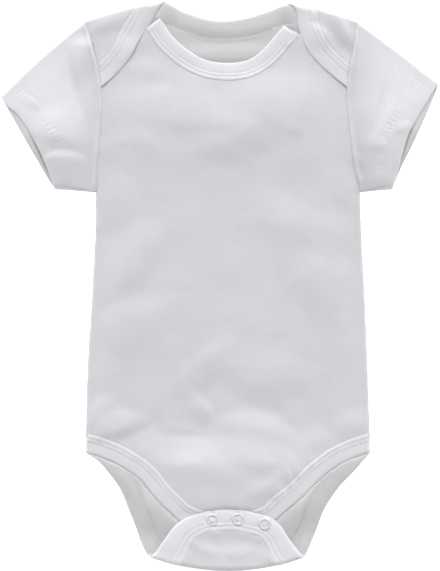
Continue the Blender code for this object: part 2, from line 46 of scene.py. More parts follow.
# Cut lines as (y, x at the left, x at the right), from the top down
cut = {
    "armhole": [(190.5, -97.5, 98.7), (175.5, -93, 97), (160.5, -89, 94.5), (145, -86.2, 92),
                (130, -85.3, 91.5), (112, -86, 92.8), (89.5, -88, 96), (67, -89.5, 101)],
    "side": [(67, -89.5, 101), (38, -90, 102), (-10.5, -92.5, 104.5), (-58.5, -95.5, 106.5),
             (-120.5, -97, 108.5)],
    "frontNeck": [(187.5, -39.5, 46), (180, -34.5, 39.5), (169, -22, 29.5), (162.3, -8.5, 18.5),
                  (160.4, 5, 5)],
    "neckTip": (-43.3, 193),
    # square ends of the neck strip and of the cloth beside it, under the laps
    "frontEnds": [(68, 174.7), (58, 180.5), (-64, 178.4), (-56, 184)],
    "backNeck": [(201.6, -33.5, 44), (198.3, -27.3, 35), (194, -15.5, 22), (191.6, -6.5, 10),
                 (191, 1.5, 1.5)],
    "lapEdge": [(199.5, -44, 53.6), (187, -51, 55.8), (175, -58.8, 60), (163, -65, 67.8),
                (151, -75.5, 80.3), (141.8, -85.8, 91.8)],
    "frontLeg": [(-120.5, -97, 108.5), (-125, -83, 95), (-131, -70.5, 83.5), (-140, -57.5, 72),
                 (-152, -47.5, 60), (-162, -37.5, 47.5), (-170, -28, 38.5), (-175.4, -14, 25),
                 (-176.5, 5.5, 5.5)],
    "backLeg": [(-120.5, -97, 108.5), (-126, -88.5, 103.5), (-133, -82, 97.5),
                (-146, -72.5, 85.5), (-162, -65.8, 75), (-175, -60.7, 70.2), (-187.5, -56, 64.8)],
    "tabEdge": [(-191.5, -46.5, 57), (-181.5, -39.5, 49.5), (-172.5, -32.5, 43.5),
                (-166, -23, 35), (-161.5, -9, 20), (-160.3, 5.5, 5.5)],
}

# Sleeve hems as (y, x of the front edge, x of the rear edge), from the top down
hems = {
    "left": [(136, -158, -158), (130, -154, -154.6), (122, -145, -149.9), (112, -138, -144),
             (100, -131, -137), (89, -125.8, -130.5), (78, -121.6, -124.1),
             (68.5, -118.5, -118.5)],
    "right": [(145, 158, 158), (141, 154.5, 156.3), (131, 148.5, 152), (120, 141.5, 147),
              (108.5, 135, 141.5), (96, 131, 135.5), (81.5, 127.2, 128.4),
              (68.5, 123.5, 123.5)],
}

cloth = {
    "wall": 1.0,        # from the inner face to the outer one where the cut is folded
    "skin": 0.9,        # outer face of the jersey above its inner face
    "jersey": 0.8,      # thickness of one layer of jersey
    "rib": 1.45,        # thickness of a folded rib strip
    "laidRib": 1.1,     # and where it lies pressed flat on the table
    "tuck": 3.0,        # how far the jersey runs into a binding
    "rollReach": 2.0,   # how far in from a seam the cloth rounds over
}
# How finely the panels are divided
detail = {
    "step": 2.1,
    "edgeStep": 2.4,    # along the cut lines
    "bendStep": 2.2,    # along the folds
    "rimRows": (0.18, 0.6, 1.2, 2.1),   # rows of points behind an edge, to round it
    "seamRows": (0.25, 1.1, 2.4),       # and beside a binding
    "latticeRoom": 3.2,                 # how far the lattice keeps from those rows
    "rowRoom": 2.9,                     # the rows beside a binding from the edge
    "bendRoom": 0.45,                   # and all points from the lines of a fold
    "overrun": 30.0,                    # how far the strips that are cut away pass an edge
}
bindingWidth = {"neck": 13.2, "lap": 15.5, "leg": 14.0}

# Places on the tab where its binding is wider: x, y, how far that reaches along it, how much
tabWider = [(-6, -161, 9, 1.7), (6, -160, 9, 1.6), (22, -161.5, 10, 1.8), (-40, -181, 13, 2.8),
            (52, -185, 11, 1.5)]


# Curves in the plane

signs = {"left": 1, "right": -1}


def smooth(t):
    t = np.clip(t, 0, 1)
    return t * t * (3 - 2 * t)


def quarter(t):
    return np.sqrt(1 - (1 - np.clip(t, 0, 1)) ** 2)


def fading(gap, reach, power=2):
    return np.exp(-((gap / reach) ** power))


def unit(way):
    return way / np.linalg.norm(way)


def curveThrough(points, step=detail["edgeStep"]):
    points = [np.array(p, float) for p in points]
    padded = [2 * points[0] - points[1], *points, 2 * points[-1] - points[-2]]
    made = []
    for a, b, c, d in zip(padded, padded[1:], padded[2:], padded[3:]):
        length = np.linalg.norm(c - b)
        leave, arrive = unit(c - a) * length, unit(d - b) * length
        count = max(1, round(length / step))
        for k in range(count):
            t = k / count
            made.append((2 * t**3 - 3 * t**2 + 1) * b + (t**3 - 2 * t**2 + t) * leave
                        + (3 * t**2 - 2 * t**3) * c + (t**3 - t**2) * arrive)
    return np.array([*made, points[-1]])


def lengthAlong(line):
    return np.concatenate([[0], np.cumsum(np.linalg.norm(np.diff(line, axis=0), axis=1))])


def atLength(line, lengths):
    known = lengthAlong(line)
    return np.stack([np.interp(lengths, known, line[:, k]) for k in range(line.shape[1])], axis=-1)


def resampled(line, step):
    total = lengthAlong(line)[-1]
    return atLength(line, np.linspace(0, total, max(2, round(total / step) + 1)))


# One side of a table of the cut, from the bottom up
def sidePoints(key, side):
    column = 1 if side == "left" else 2
    return [(row[column], row[0]) for row in reversed(cut[key])]


def downAndUp(key):
    left, right = sidePoints(key, "left")[::-1], sidePoints(key, "right")
    return left + (right[1:] if left[-1] == right[0] else right)


def leftNormals(line):
    run = np.gradient(line, axis=0)
    run /= np.linalg.norm(run, axis=1)[:, None]
    return np.stack([-run[:, 1], run[:, 0]], axis=1)


def lengthened(line, extra):
    first = line[0] + unit(line[0] - line[1]) * extra
    last = line[-1] + unit(line[-1] - line[-2]) * extra
    return np.array([first, *line, last])


def isInside(points, outline):
    found = np.zeros(len(points), bool)
    for (x1, y1), (x2, y2) in zip(outline, np.roll(outline, -1, axis=0)):
        if y1 == y2:
            continue
        crosses = (y1 > points[:, 1]) != (y2 > points[:, 1])
        found ^= crosses & (points[:, 0] < (x2 - x1) * (points[:, 1] - y1) / (y2 - y1) + x1)
    return found


# How far each point lies from a line, and how far along it
def nearest(points, line):
    best = np.full(len(points), 1e9)
    along = np.zeros(len(points))
    walked = lengthAlong(line)
    for start, end, before in zip(line, line[1:], walked):
        run = end - start
        size = max(run @ run, 1e-9)
        share = np.clip((points - start) @ run / size, 0, 1)
        gap = np.linalg.norm(points - start - share[:, None] * run, axis=1)
        closer = gap < best
        best[closer] = gap[closer]
        along[closer] = before + share[closer] * np.sqrt(size)
    return best, along


def gapTo(points, line):
    return nearest(points, line)[0]


# The folds of the back. outward points across a fold, out of the garment; past the half circle
# the cloth lies over itself and rises by lift within reach.
folds = {
    "slope": 14.4,          # degrees that each shoulder falls to its tip
    "shoulderBow": 0.0015,  # how the fold's own line curves
    "shoulderLength": 58.0,
    "shoulderRadius": 0.95,
    "crotchRadius": 2.3,
    "crotchBottom": -205.5,
    "crotchBow": 0.0032,
    "snapRoom": 0.5,        # how much further the snaps hold the two tabs apart
    "centre": 5.5,          # x of the middle of the tab
    "frontRoom": 4.5,       # how far below the top of a shoulder the front's armhole ends
    "steps": 9,             # rows of points across a fold
}


def wayAlong(outward, points):
    return points[..., 0] * outward[1] - points[..., 1] * outward[0]


def shoulderFold(side):
    sign = signs[side]
    slope = sign * radians(folds["slope"])
    outward = np.array([-sin(slope), cos(slope)])
    tip = np.array(sidePoints("armhole", side)[-1])
    half = folds["shoulderLength"] / 2
    radius = folds["shoulderRadius"]
    middle = wayAlong(outward, tip) + sign * half
    start = tip @ outward - radius - cloth["wall"] + folds["shoulderBow"] * half**2
    return {"outward": outward, "start": start, "bow": folds["shoulderBow"], "middle": middle,
            "radius": radius, "lift": 0.0, "reach": 1.0}


shoulders = {side: shoulderFold(side) for side in signs}
crotch = {
    "outward": np.array([0.0, -1.0]),
    "start": -folds["crotchBottom"] - folds["crotchRadius"] - cloth["wall"],
    "bow": folds["crotchBow"],
    "middle": -folds["centre"],
    "radius": folds["crotchRadius"],
    "lift": folds["snapRoom"],
    "reach": 12.0,
}


def pastFold(fold, points):
    bowed = fold["bow"] * (wayAlong(fold["outward"], points) - fold["middle"]) ** 2
    return points @ fold["outward"] - fold["start"] + bowed


def unfolded(fold, points):
    points = np.array(points, float)
    inside = -pastFold(fold, points)
    return points + fold["outward"] * (2 * inside + pi * fold["radius"])[..., None]


# Where the inner face of the cut lies once it is folded, the way out of the cloth, and the share
# of the bend behind it: 0 on the table, 1 on the layer folded over
def foldBack(points):
    places = np.zeros((len(points), 3))
    out = np.zeros((len(points), 3))
    share = np.zeros(len(points))
    low = points[:, 1] < 0
    left = points[:, 0] < folds["centre"]
    for fold, mine in ((crotch, low), (shoulders["left"], ~low & left),
                       (shoulders["right"], ~low & ~left)):
        p = points[mine]
        radius = fold["radius"]
        beyond = pastFold(fold, p)
        turn = np.clip(beyond / radius, 0, pi)
        after = np.maximum(beyond - pi * radius, 0)
        shift = radius * np.sin(turn) - np.maximum(beyond, 0) - after
        places[mine, :2] = p + fold["outward"] * shift[:, None]
        lifted = fold["lift"] * smooth(after / fold["reach"])
        places[mine, 2] = cloth["wall"] + radius * (1 - np.cos(turn)) + lifted
        out[mine, :2] = fold["outward"] * np.sin(turn)[:, None]
        out[mine, 2] = -np.cos(turn)
        share[mine] = turn / pi
    return places, out, share


# Outlines of the cuts

def lapLine(side):
    return [unfolded(shoulders[side], p) for p in sidePoints("lapEdge", side)]


def backArmhole(side):
    fold = shoulders[side]
    edge = curveThrough(sidePoints("armhole", side))
    laid = [p for p in edge if pastFold(fold, p) < -1]
    after = edge[len(laid)]
    share = pastFold(fold, laid[-1]) / (pastFold(fold, laid[-1]) - pastFold(fold, after))
    last = laid[-1] + (after - laid[-1]) * share
    lowest = cut["lapEdge"][-1][0] + 2
    over = [unfolded(fold, p) for p in reversed(laid) if p[1] > lowest]
    return np.array([*laid, last, last + fold["outward"] * pi * fold["radius"], *over])


def frontArmhole(side):
    fold = shoulders[side]
    room = folds["frontRoom"] - cloth["wall"] - fold["radius"]
    edge = curveThrough(sidePoints("armhole", side))
    return np.array([p for p in edge if pastFold(fold, p) < -room])


tab = [unfolded(crotch, p) for p in downAndUp("tabEdge")]
frontNeckLine = curveThrough([cut["neckTip"], *downAndUp("frontNeck")])
frontLegLine = curveThrough(downAndUp("frontLeg"))
neckLine = curveThrough([*lapLine("left"), *downAndUp("backNeck"), *lapLine("right")[::-1]])
legLine = curveThrough([*sidePoints("backLeg", "left")[::-1], *tab,
                        *sidePoints("backLeg", "right")])
sides = {side: curveThrough(sidePoints("side", side)) for side in signs}
backHoles = {side: backArmhole(side) for side in signs}
frontHoles = {side: frontArmhole(side) for side in signs}


def joinedOutline(leg, neck, holes, ends=()):
    right = [*sides["right"][:-1], *holes["right"], *ends[:2]]
    left = [*sides["left"][:-1], *holes["left"], *ends[2:]]
    return np.array([*leg[:-1], *right, *neck[::-1], *left[:0:-1]])


# Width of a binding at each point of its line; below zero it lies to the right of the line
def widthsAlong(line, width, wider=()):
    widths = np.full(len(line), float(width))
    for x, y, reach, extra in wider:
        gap = np.linalg.norm(line - unfolded(crotch, (x, y)), axis=1)
        widths += np.sign(width) * extra * fading(gap, reach)
    return widths


backOutline = joinedOutline(legLine, neckLine, backHoles)
frontOutline = joinedOutline(frontLegLine, frontNeckLine, frontHoles, cut["frontEnds"])
frontNeckWidths = widthsAlong(frontNeckLine, -bindingWidth["neck"])
frontLegWidths = widthsAlong(frontLegLine, bindingWidth["leg"])
neckWidths = widthsAlong(neckLine, -bindingWidth["lap"])
legWidths = widthsAlong(legLine, bindingWidth["leg"], tabWider)


def seamLine(line, widths, outline):
    moved = line + leftNormals(line) * widths[:, None]
    return moved[isInside(moved, outline)][::2]


# Creases

# Each row is a soft fold in the cloth: from (x1, y1) to (x2, y2), how far its middle bows to the
# left of that way, how wide it is to its left and its right, and its height; a trough is negative.
def reliefAt(creases, x, y):
    height = np.zeros(len(x))
    for x1, y1, x2, y2, bow, leftReach, rightReach, rise in creases:
        run = np.array([x2 - x1, y2 - y1], float)
        length = np.linalg.norm(run)
        run /= length
        along = ((x - x1) * run[0] + (y - y1) * run[1]) / length
        across = (y - y1) * run[0] - (x - x1) * run[1] - 4 * bow * along * (1 - along)
        fade = smooth(np.minimum(along, 1 - along) / 0.45)
        reach = np.where(across > 0, leftReach, rightReach) * (0.4 + 0.6 * fade)
        height += rise * fade * np.clip(1 - (across / reach) ** 2, 0, 1) ** 2
    return height


# Slight unevenness of cloth that has been worn and washed, as size and height
crumples = ((19, 0.16), (10, 0.11), (5.5, 0.055))
# The cloth gathers a little along a line of sewing: length, share and start of its waves
gathers = ((7.4, 0.5, 0.0), (10.9, 0.7, 1.9), (17.3, 0.8, 4.1), (29, 0.6, 2.6))


def crumple(x, y, seed):
    height = np.zeros(len(x))
    for size, rise in crumples:
        height += [rise * noise.noise(Vector((a / size, b / size * 1.3, seed)))
                   for a, b in zip(x, y)]
    return height


def seamPuckers(points, line, reach, height, start):
    gap, along = nearest(points, line)
    waves = np.zeros(len(points))
    for length, size, turn in gathers:
        waves += size * np.sin(2 * pi * along / length + turn + start)
    swell = 0.55 + 0.45 * np.sin(along / 23 + 2.3 * start)
    return height * waves * swell * fading(gap, reach)


front = {
    # y and height of the outer face down the middle, from the crotch up
    "middle": [(-190, 5.8), (-168, 6.2), (-161, 8.0), (-155, 8.15), (-147, 7.65), (-139, 7.0),
               (-132, 6.4), (-122, 5.35), (-112, 4.3), (-104, 3.75), (-92, 3.8), (-76, 4.2),
               (-30, 5.4), (20, 5.6), (70, 5.9), (96, 6.8), (116, 6.9),
               (132, 5.9), (147, 4.4), (160, 3.0), (176, 2.85), (199, 2.85)],
    # y, height of the outer face beside the seam, and how far it drops at the seam
    "seam": [(-102, 3.3, 0.7), (-84, 2.6, 1.3), (66, 2.6, 1.3), (80, 3.4, 0.8), (98, 4.4, 0.45),
             (120, 4.6, 0.4), (136, 4.1, 0.35), (150, 2.95, 0.35), (191, 2.85, 0.35)],
    "leg": [(-176, 5.4), (-168, 5.2), (-160, 4.75), (-148, 4.1), (-135, 3.35), (-120, 2.45)],
    "seamReach": 27.0,  # how far in from a side the height of the middle is reached
    "edgeReach": 28.0,  # and from the leg openings
    "creaseReach": 9.0,
    "legReach": 18.0,
    "creaseTop": 168.0,
    "creaseFade": 12.0,
    "lapRise": 0.4,     # the cloth stands up a little beside the free edge of a lap
    "lapReach": 4.0,
    "underTab": 5.9,    # height to which the tab presses the front
    "stripSink": 0.2,   # how far a folded strip sits into the cloth that it binds
    "lowest": 1.25,
    "lapBlur": 1.6,     # how gently the cloth steps down at the edge of a lap
    "tabBlur": 3.0,
    "creases": [
        # chest
        (-84, 160, -30, 157, 2, 26, 17, 1.0),
        (-18, 120, 84, 143, -4, 30, 34, 1.9),
        (-44, 118, 14, 115, 2, 26, 13, 0.8),
        (-26, 99, 44, 102, 3, 26, 20, 1.4),
        (-74, 127, -12, 134, 3, 13, 28, 0.6),
        (44, 117, 63, 109, 0, 6, 9, 0.3),
        (-76, 107, -38, 94, 3, 10, 13, 0.5),
        # below the armholes
        (-98, 58, -54, 62, 2, 24, 26, 1.0),
        (78, 60, 112, 68, 2, 30, 22, 1.1),
        (52, 36, 108, 38, 2, 20, 22, 0.75),
        (34, 45, 72, 49, 1, 16, 20, 0.35),
        # waist
        (10, 53, 94, 44, -2, 27, 27, 0.7),
        (22, 76, 90, -46, 6, 30, 24, 1.2),
        (-28, 60, -99, -20, 4, 18, 28, 1.1),
        (-88, 14, -48, 8, 0, 24, 24, 0.5),
        (38, 8, 104, 0, 2, 28, 36, 0.9),
        (-70, -25, -18, -11, 3, 14, 22, 0.5),
        # belly
        (-94, -32, -36, -28, 1, 28, 30, 1.0),
        (8, -34, -40, -82, 2, 19, 11, 0.8),
        (-30, -66, -66, -100, 2, 14, 14, 0.4),
        (-28, -49, 26, -54, 0, 22, 20, 0.7),
        (-6, -59, 78, -66, -4, 27, 24, 1.25),
        # hips
        (-104, -118, -46, -97, 4, 17, 9, 1.9),
        (-108, -103, -72, -79, 1, 11, 14, 1.2),
        (76, -106, 114, -98, 0, 17, 13, 0.9),
        (54, -114, 86, -106, 0, 13, 10, 0.5),
        # the fullness above the tab
        (-14, -103, 66, -119, 7, 17, 34, 2.2),
        (-62, -128, 74, -131, 2, 22, 28, 2.1),
        (-46, -127, 18, -128, -1, 13, 14, 0.6),
        (-54, -107, -2, -110, 1, 4, 6, -0.5),
        (-22, -76, -2, -101, 0, 7, 14, 0.8),
        (-36, -132, -10, -126, 1, 6, 5, 0.35),
        (12, -127, 46, -129, 0, 8, 8, 0.4),
        (14, -152, 50, -147, 2, 11, 9, 0.8),
        (44, -125, 54, -146, 0, 3, 3.5, 0.35),
        (50, -122, 60, -142, 0, 3, 3, 0.35),
        (-14, -141, 18, -137, 1, 6, 8, 0.35),
    ],
}


def heightsAlong(rows):
    return curveThrough(rows, 1.0).T


frontEdges = {side: np.array([*sides[side][::2], *frontHoles[side][::2]]) for side in sides}
frontNeckSeam = seamLine(frontNeckLine, frontNeckWidths, frontOutline)
frontLegSeam = seamLine(frontLegLine, frontLegWidths, frontOutline)
middleHeights = heightsAlong(front["middle"])
legHeights = heightsAlong(front["leg"])
legPlaces = (lengthAlong(frontLegLine[::2]), frontLegLine[::2, 1])
tabEdge = np.array(downAndUp("tabEdge"))
lapEdges = [np.array(sidePoints("lapEdge", side)[::-1]) for side in signs]
# line, reach and height of the puckers beside it, and where they start
frontPuckers = ((frontEdges["left"], 5.5, 0.13, 0.4), (frontEdges["right"], 5.5, 0.13, 2.2),
                (frontNeckSeam, 4.5, 0.10, 1.1), (frontLegSeam, 5.0, 0.14, 3.0))


# 1 in the open part of the front, -1 under a lap
def beyondLaps(x, y):
    edges = np.array(cut["lapEdge"])[::-1].T
    covered = (x < np.interp(y, edges[0], edges[1])) | (x > np.interp(y, edges[0], edges[2]))
    return np.where(covered & (y > edges[0][0]), -1, 1)


# Height of the front's outer face
def frontTop(points):
    x, y = points.T
    gap = np.minimum(*(gapTo(points, line) for line in frontEdges.values()))
    legGap, legAlong = nearest(points, frontLegLine[::2])
    rows = np.array(front["seam"]).T
    level = np.interp(y, rows[0], rows[1])
    drop = np.interp(y, rows[0], rows[2])
    height = level + (np.interp(y, *middleHeights) - level) * smooth(gap / front["seamReach"])
    free = smooth(gap / front["creaseReach"]) * smooth(legGap / front["legReach"])
    free *= smooth((front["creaseTop"] - y) / front["creaseFade"])
    height += free * (reliefAt(front["creases"], x, y) + crumple(x, y, 0.5))
    low = np.interp(np.interp(legAlong, *legPlaces), *legHeights)
    height = low + (height - low) * smooth(0.1 + legGap / front["edgeReach"])
    height -= drop * (1 - quarter(gap / cloth["rollReach"]))
    for row in frontPuckers:
        height += seamPuckers(points, *row)
    lapGap = np.minimum(*(gapTo(points, line) for line in lapEdges))
    opened = smooth(0.5 + (beyondLaps(x, y) * lapGap) / front["lapBlur"])
    height += front["lapRise"] * opened * fading(lapGap, front["lapReach"])
    tabGap = gapTo(points, tabEdge)
    tabGap = np.where(y < np.interp(x, *tabEdge.T, left=-300, right=-300), tabGap, -tabGap)
    pressed = smooth(0.5 + tabGap / front["tabBlur"])
    height -= pressed * np.maximum(height - front["underTab"], 0)
    return np.maximum(height, front["lowest"])


def placeFront(points):
    places = np.column_stack([points, frontTop(points) - cloth["skin"] - front["stripSink"]])
    out = np.tile([0.0, 0.0, 1.0], (len(points), 1))
    return places, out, np.ones(len(points))


back = {
    # how far the outer face drops at its seams
    "sideDrop": 1.05,
    "armDrop": 0.35,
    "lapDrop": 0.35,
    "lapRest": 2.25,    # height of the front where a lap lies on it
    "lapSink": 0.75,    # and how far its free edge presses into the front
    "sinkReach": 11.0,
    "sinkFrom": (137, 22),      # y where that begins, and how long it takes
    "tabSink": 0.6,     # the same for the free edge of the tab
    "tabReach": 9.0,
    "lapDroop": 1.0,    # how far a lap sinks where no cloth lies under it
    "droopReach": 7.0,
    "cornerReach": (24, 12),    # within which the ends of the front's neck strip hold it up
    "lift": 0.1,
    # y, how far the back stands up beside the front's leg openings
    "legRise": [(-200, 3.9), (-185, 4.05), (-170, 4.25), (-160, 3.85), (-148, 3.25), (-135, 2.6),
                (-120, 1.65)],
    "legRiseReach": 16.0,
    "legRiseFrom": (1.8, 2.5),  # how far behind the opening's edge it begins
    "shownReach": 3.0,          # how far the creases run on behind the front
    "seamSwell": 0.45,  # the cloth stands up a little beside a folded strip
    "seamReach": 3.5,
    # what shows inside the neck and the leg openings
    "under": [
        (-50, 201, 60, 201, -17, 16, 11, 2.1),
        (-48, 164, 58, 164, 0, 14.5, 6, 2.1),
        (-4, 171, 44, 169, 0, 9, 7, 0.4),
        (-29, 216, -53, 178, 0, 13, 9, 1.6),   # beside the folds of the shoulders
        (39, 216, 64, 176, 0, 9, 12, 1.6),
        (-62, -140, -50, -186, 3, 9, 8, 0.8),
        (-76, -128, -58, -160, 0, 5, 6, 0.5),
        (72, -134, 56, -184, -3, 8, 9, 0.8),
        (-76, -186, -30, -214, 0, 22, 8, 2.2),  # up to the fold at the corners of the tab
        (42, -214, 88, -184, 0, 22, 8, 2.2),
    ],
    # on the laps and on the tab
    "over": [
        (-96, 182, -60, 198, 0, 7, 10, 1.2),
        (101, 165, 75, 206, 0, 12, 7, 2.1),
        (-80, 158, -52, 176, 0, 16, 6, 1.1),
        (60, 190, 86, 172, 0, 6, 14, 1.2),
        (-60, -201, 70, -202, -4, 23, 8, 2.2),
        (-28, -182, 4, -194, 0, 6, 7, 0.6),
        (-2, -192, 30, -187, -2, 6, 7, 0.6),
        (22, -190, 42, -198, 0, 5, 6, 0.4),
    ],
}
backEdges = {side: np.array([*sides[side][::2], *backHoles[side][::2]]) for side in sides}
# line and height of the puckers beside it, and where they start
backPuckers = ((seamLine(neckLine, neckWidths, backOutline), 0.12, 0.8),
               (seamLine(legLine, legWidths, backOutline), 0.14, 2.9))
legRises = heightsAlong(back["legRise"])


# Inner face of the folded back, with what presses it down or holds it up
def placeBack(points):
    places, out, share = foldBack(points)
    flat = places[:, :2]
    x, y = flat.T
    lap = share * (y > 0)
    covered = frontTop(flat) - back["lapRest"]
    places[:, 2] += lap * np.maximum(covered, 0)
    edge = gapTo(points, neckLine)
    corner = gapTo(flat, frontNeckLine[[0, -1]])
    reach, fade = back["cornerReach"]
    free = smooth(1 - edge / back["droopReach"]) * smooth((reach - corner) / fade)
    start, fade = back["sinkFrom"]
    sink = back["lapSink"] * smooth(1 - edge / back["sinkReach"]) * smooth((y - start) / fade)
    places[:, 2] -= lap * (free * back["lapDroop"] + sink)
    edge = gapTo(points, legLine)
    places[:, 2] -= share * (y < 0) * back["tabSink"] * smooth(1 - edge / back["tabReach"])
    gap = gapTo(flat, frontLegLine)
    hidden = isInside(flat, frontOutline)
    inside = np.minimum(gap, gapTo(flat, frontNeckLine))
    shown = np.where(hidden, smooth(1 - inside / back["shownReach"]), 1)
    gap = np.where(hidden, -gap, gap)
    start, fade = back["legRiseFrom"]
    beside = smooth((gap + start) / fade) * fading(gap, back["legRiseReach"])
    places[:, 2] += (1 - share) * (y < 0) * beside * np.interp(y, *legRises)
    places[:, 2] += (1 - share) * shown * np.maximum(reliefAt(back["under"], x, y), 0)
    places[:, 2] += share * np.maximum(reliefAt(back["over"], x, y), 0)
    places[:, 2] += back["lift"] + crumple(x, y, 3.5)
    return places, out, share


def backOuter(points):
    places, out, share = placeBack(points)
    gap = np.minimum(*(gapTo(points, line) for line in backEdges.values()))
    drop = np.where(places[:, 1] > cut["side"][0][0], back["armDrop"], back["sideDrop"])
    drop = drop * (1 - share) + back["lapDrop"] * share
    rise = cloth["skin"] - drop * (1 - quarter(gap / cloth["rollReach"]))
    for line, height, start in backPuckers:
        beside = gapTo(points, line)
        swell = back["seamSwell"] * fading(beside, back["seamReach"])
        rise += share * (swell + seamPuckers(points, line, 5, height, start))
    return places + out * rise[:, None]


# Meshes

def addObject(name, data):
    made = bpy.data.objects.new(name, data)
    bpy.context.scene.collection.objects.link(made)
    return made


# A piece from points in millimetres. flat says where each point, or each corner, lies in the cut.
def addPiece(name, points, faces, materials, slots=None, flat=None, turn=True):
    mesh = bpy.data.meshes.new(name)
    mesh.from_pydata(np.array(points) * mm, [], faces)
    if slots is not None:
        mesh.polygons.foreach_set("material_index", slots)
        corners = np.zeros(len(mesh.loops), int)
        mesh.loops.foreach_get("vertex_index", corners)
        flat = flat[corners] if len(flat) == len(points) else np.array(flat)
        layer = mesh.uv_layers.new(name="cutMetres")
        layer.data.foreach_set("uv", (flat * mm).ravel())
    if turn:
        shape = bmesh.new()
        shape.from_mesh(mesh)
        bmesh.ops.recalc_face_normals(shape, faces=shape.faces)
        shape.to_mesh(mesh)
        shape.free()
    for material in materials:
        mesh.materials.append(material)
    mesh.shade_smooth()
    return addObject(name, mesh)


# Each point of a ring and the next one round it
def ringPairs(size):
    return [(k, (k + 1) % size) for k in range(size)]


# Covers the whole of either cut
def latticePoints(step):
    rows = np.arange(-270, 310, step)
    x, y = np.meshgrid(np.arange(-170, 170, step), rows)
    x = x + 0.5 * step * (np.arange(len(rows)) % 2)[:, None]
    return np.column_stack([x.ravel(), y.ravel()])


# Triangles of the cut without the strips that its bindings cover. The edges are followed by rows
# of points close together, so that the cloth can round over at its seams.
def cutPanel(outline, bindings, bends=()):
    step, room = detail["step"], detail["latticeRoom"]
    ring = resampled(np.array([*outline, outline[0]]), step)
    normals = leftNormals(ring)
    if not isInside((ring + 0.5 * normals)[1:2], outline)[0]:
        normals = -normals
    rows = []
    for inset in detail["rimRows"]:
        moved = ring + normals * inset
        gap = gapTo(moved, ring)
        rows.append(moved[isInside(moved, outline) & (gap > inset * 0.9)])
    points = latticePoints(step)
    points = points[isInside(points, outline) & (gapTo(points, ring) > room)]
    bands = []
    for line, widths in bindings:
        sign = np.sign(widths[0])
        gaps = (-cloth["tuck"], *detail["seamRows"])
        shifts = [(widths + sign * gap)[:, None] for gap in gaps]
        lines = [lengthened(line + leftNormals(line) * shift, detail["overrun"])
                 for shift in shifts]
        band = np.array([*lengthened(line, detail["overrun"]), *lines[0][::-1]])
        bands.append(band if sign > 0 else band[::-1])  # counterclockwise
        points = points[gapTo(points, lines[1]) > room]
        for beside in lines[1:]:
            beside = resampled(beside, step)
            beside = beside[isInside(beside, outline)]
            rows.append(beside[gapTo(beside, ring) > detail["rowRoom"]])
    points = np.concatenate([points, *rows])
    for band in bands:
        points = points[~isInside(points, band)]
    for bend in bends:
        points = points[gapTo(points, bend) > detail["bendRoom"]]
    corners = [Vector(p) for p in points]
    faces = []
    for loop in (outline, *bands):
        faces.append(list(range(len(corners), len(corners) + len(loop))))
        corners += [Vector(p) for p in loop]
    edges = []
    for bend in bends:
        first = len(corners)
        corners += [Vector(p) for p in bend]
        edges += [(k, k + 1) for k in range(first, len(corners) - 1)]
    found, _, triangles, _, _, sources = delaunay_2d_cdt(corners, edges, faces, 0, 0.001)
    kept = np.array([t for t, source in zip(triangles, sources) if set(source) == {0}])
    used, kept = np.unique(kept, return_inverse=True)
    return np.array(found)[used], kept.reshape(-1, 3)


def bendLines(fold, first, last):
    tangent = np.array([fold["outward"][1], -fold["outward"][0]])
    places = np.arange(first, last, detail["bendStep"])
    lines = []
    for step in range(folds["steps"] + 1):
        turned = fold["start"] + pi * fold["radius"] * step / folds["steps"]
        reach = turned - fold["bow"] * (places - fold["middle"]) ** 2
        lines.append(tangent * places[:, None] + fold["outward"] * reach[:, None])
    return lines


def vertexNormals(points, triangles):
    a, b, c = (points[triangles[:, k]] for k in range(3))
    faceNormals = np.cross(b - a, c - a)
    normals = np.zeros_like(points)
    for k in range(3):
        np.add.at(normals, triangles[:, k], faceNormals)
    return normals / np.maximum(np.linalg.norm(normals, axis=1), 1e-12)[:, None]


# A closed layer of cloth: its outer face, its inner face a thickness behind, and the edge between
def makeLayer(name, flat, outer, triangles, materials):
    inner = outer - vertexNormals(outer, triangles) * cloth["jersey"]
    count = len(flat)
    edges = {}
    for a, b, c in triangles:
        for pair in ((a, b), (b, c), (c, a)):
            if pair[::-1] in edges:
                del edges[pair[::-1]]
            else:
                edges[pair] = True
    rim = [(b, a, a + count, b + count) for a, b in edges]
    faces = [tuple(t) for t in triangles]
    faces += [(c + count, b + count, a + count) for a, b, c in triangles]
    slots = np.zeros(len(faces) + len(rim), int)
    slots[len(triangles):2 * len(triangles)] = 1
    print(name, 2 * len(triangles), "triangles")
    return addPiece(name, np.concatenate([outer, inner]), faces + rim, materials, slots,
                    np.concatenate([flat, flat]), turn=False)


# Bindings are folded strips with two rows of stitches beside the seam. Each row is how far
# across the strip, from its folded edge, and how high, as a share of half its thickness.
bindingProfile = [
    (0.0, -0.8), (0.012, -0.2), (0.04, 0.40), (0.09, 0.78), (0.17, 0.95), (0.28, 0.98),
    (0.39, 0.95), (0.49, 0.92), (0.545, 0.86), (0.58, 0.66), (0.615, 0.90), (0.65, 1.07),
    (0.69, 1.12), (0.725, 1.0), (0.755, 0.74), (0.785, 0.95), (0.82, 1.10), (0.87, 1.15),
    (0.925, 1.08), (0.965, 0.9), (0.985, 0.6), (1.0, 0.2), (0.996, -0.1),
]
# The side on which a strip lies is flat up to its edge
restingRows = [(0.0, 0.8), (0.012, 0.92), (0.04, 0.98), (0.09, 1.0), (0.8, 1.0), (1.0, 0.6)]
# and so is the side that shows inside the openings, only thinner towards the seam
plainRows = [(0.1, 0.97), (0.5, 0.88), (0.8, 0.79), (0.9, 0.66), (1.0, 0.42)]
strip = {
    "needleRows": (0.58, 0.755),
    "step": 1.05,
    "sample": 0.5,
    "overrun": 26.0,    # how far its line is lengthened to find where it meets the edges
    "gather": 0.20,     # how much the ridges beside the needle rows swell and sink
    "gatherEvery": 3.1,
    "slack": 0.05,
    "endHeight": 0.4,   # its ends are pinched to this share of the thickness
    "endReach": 1.8,
}


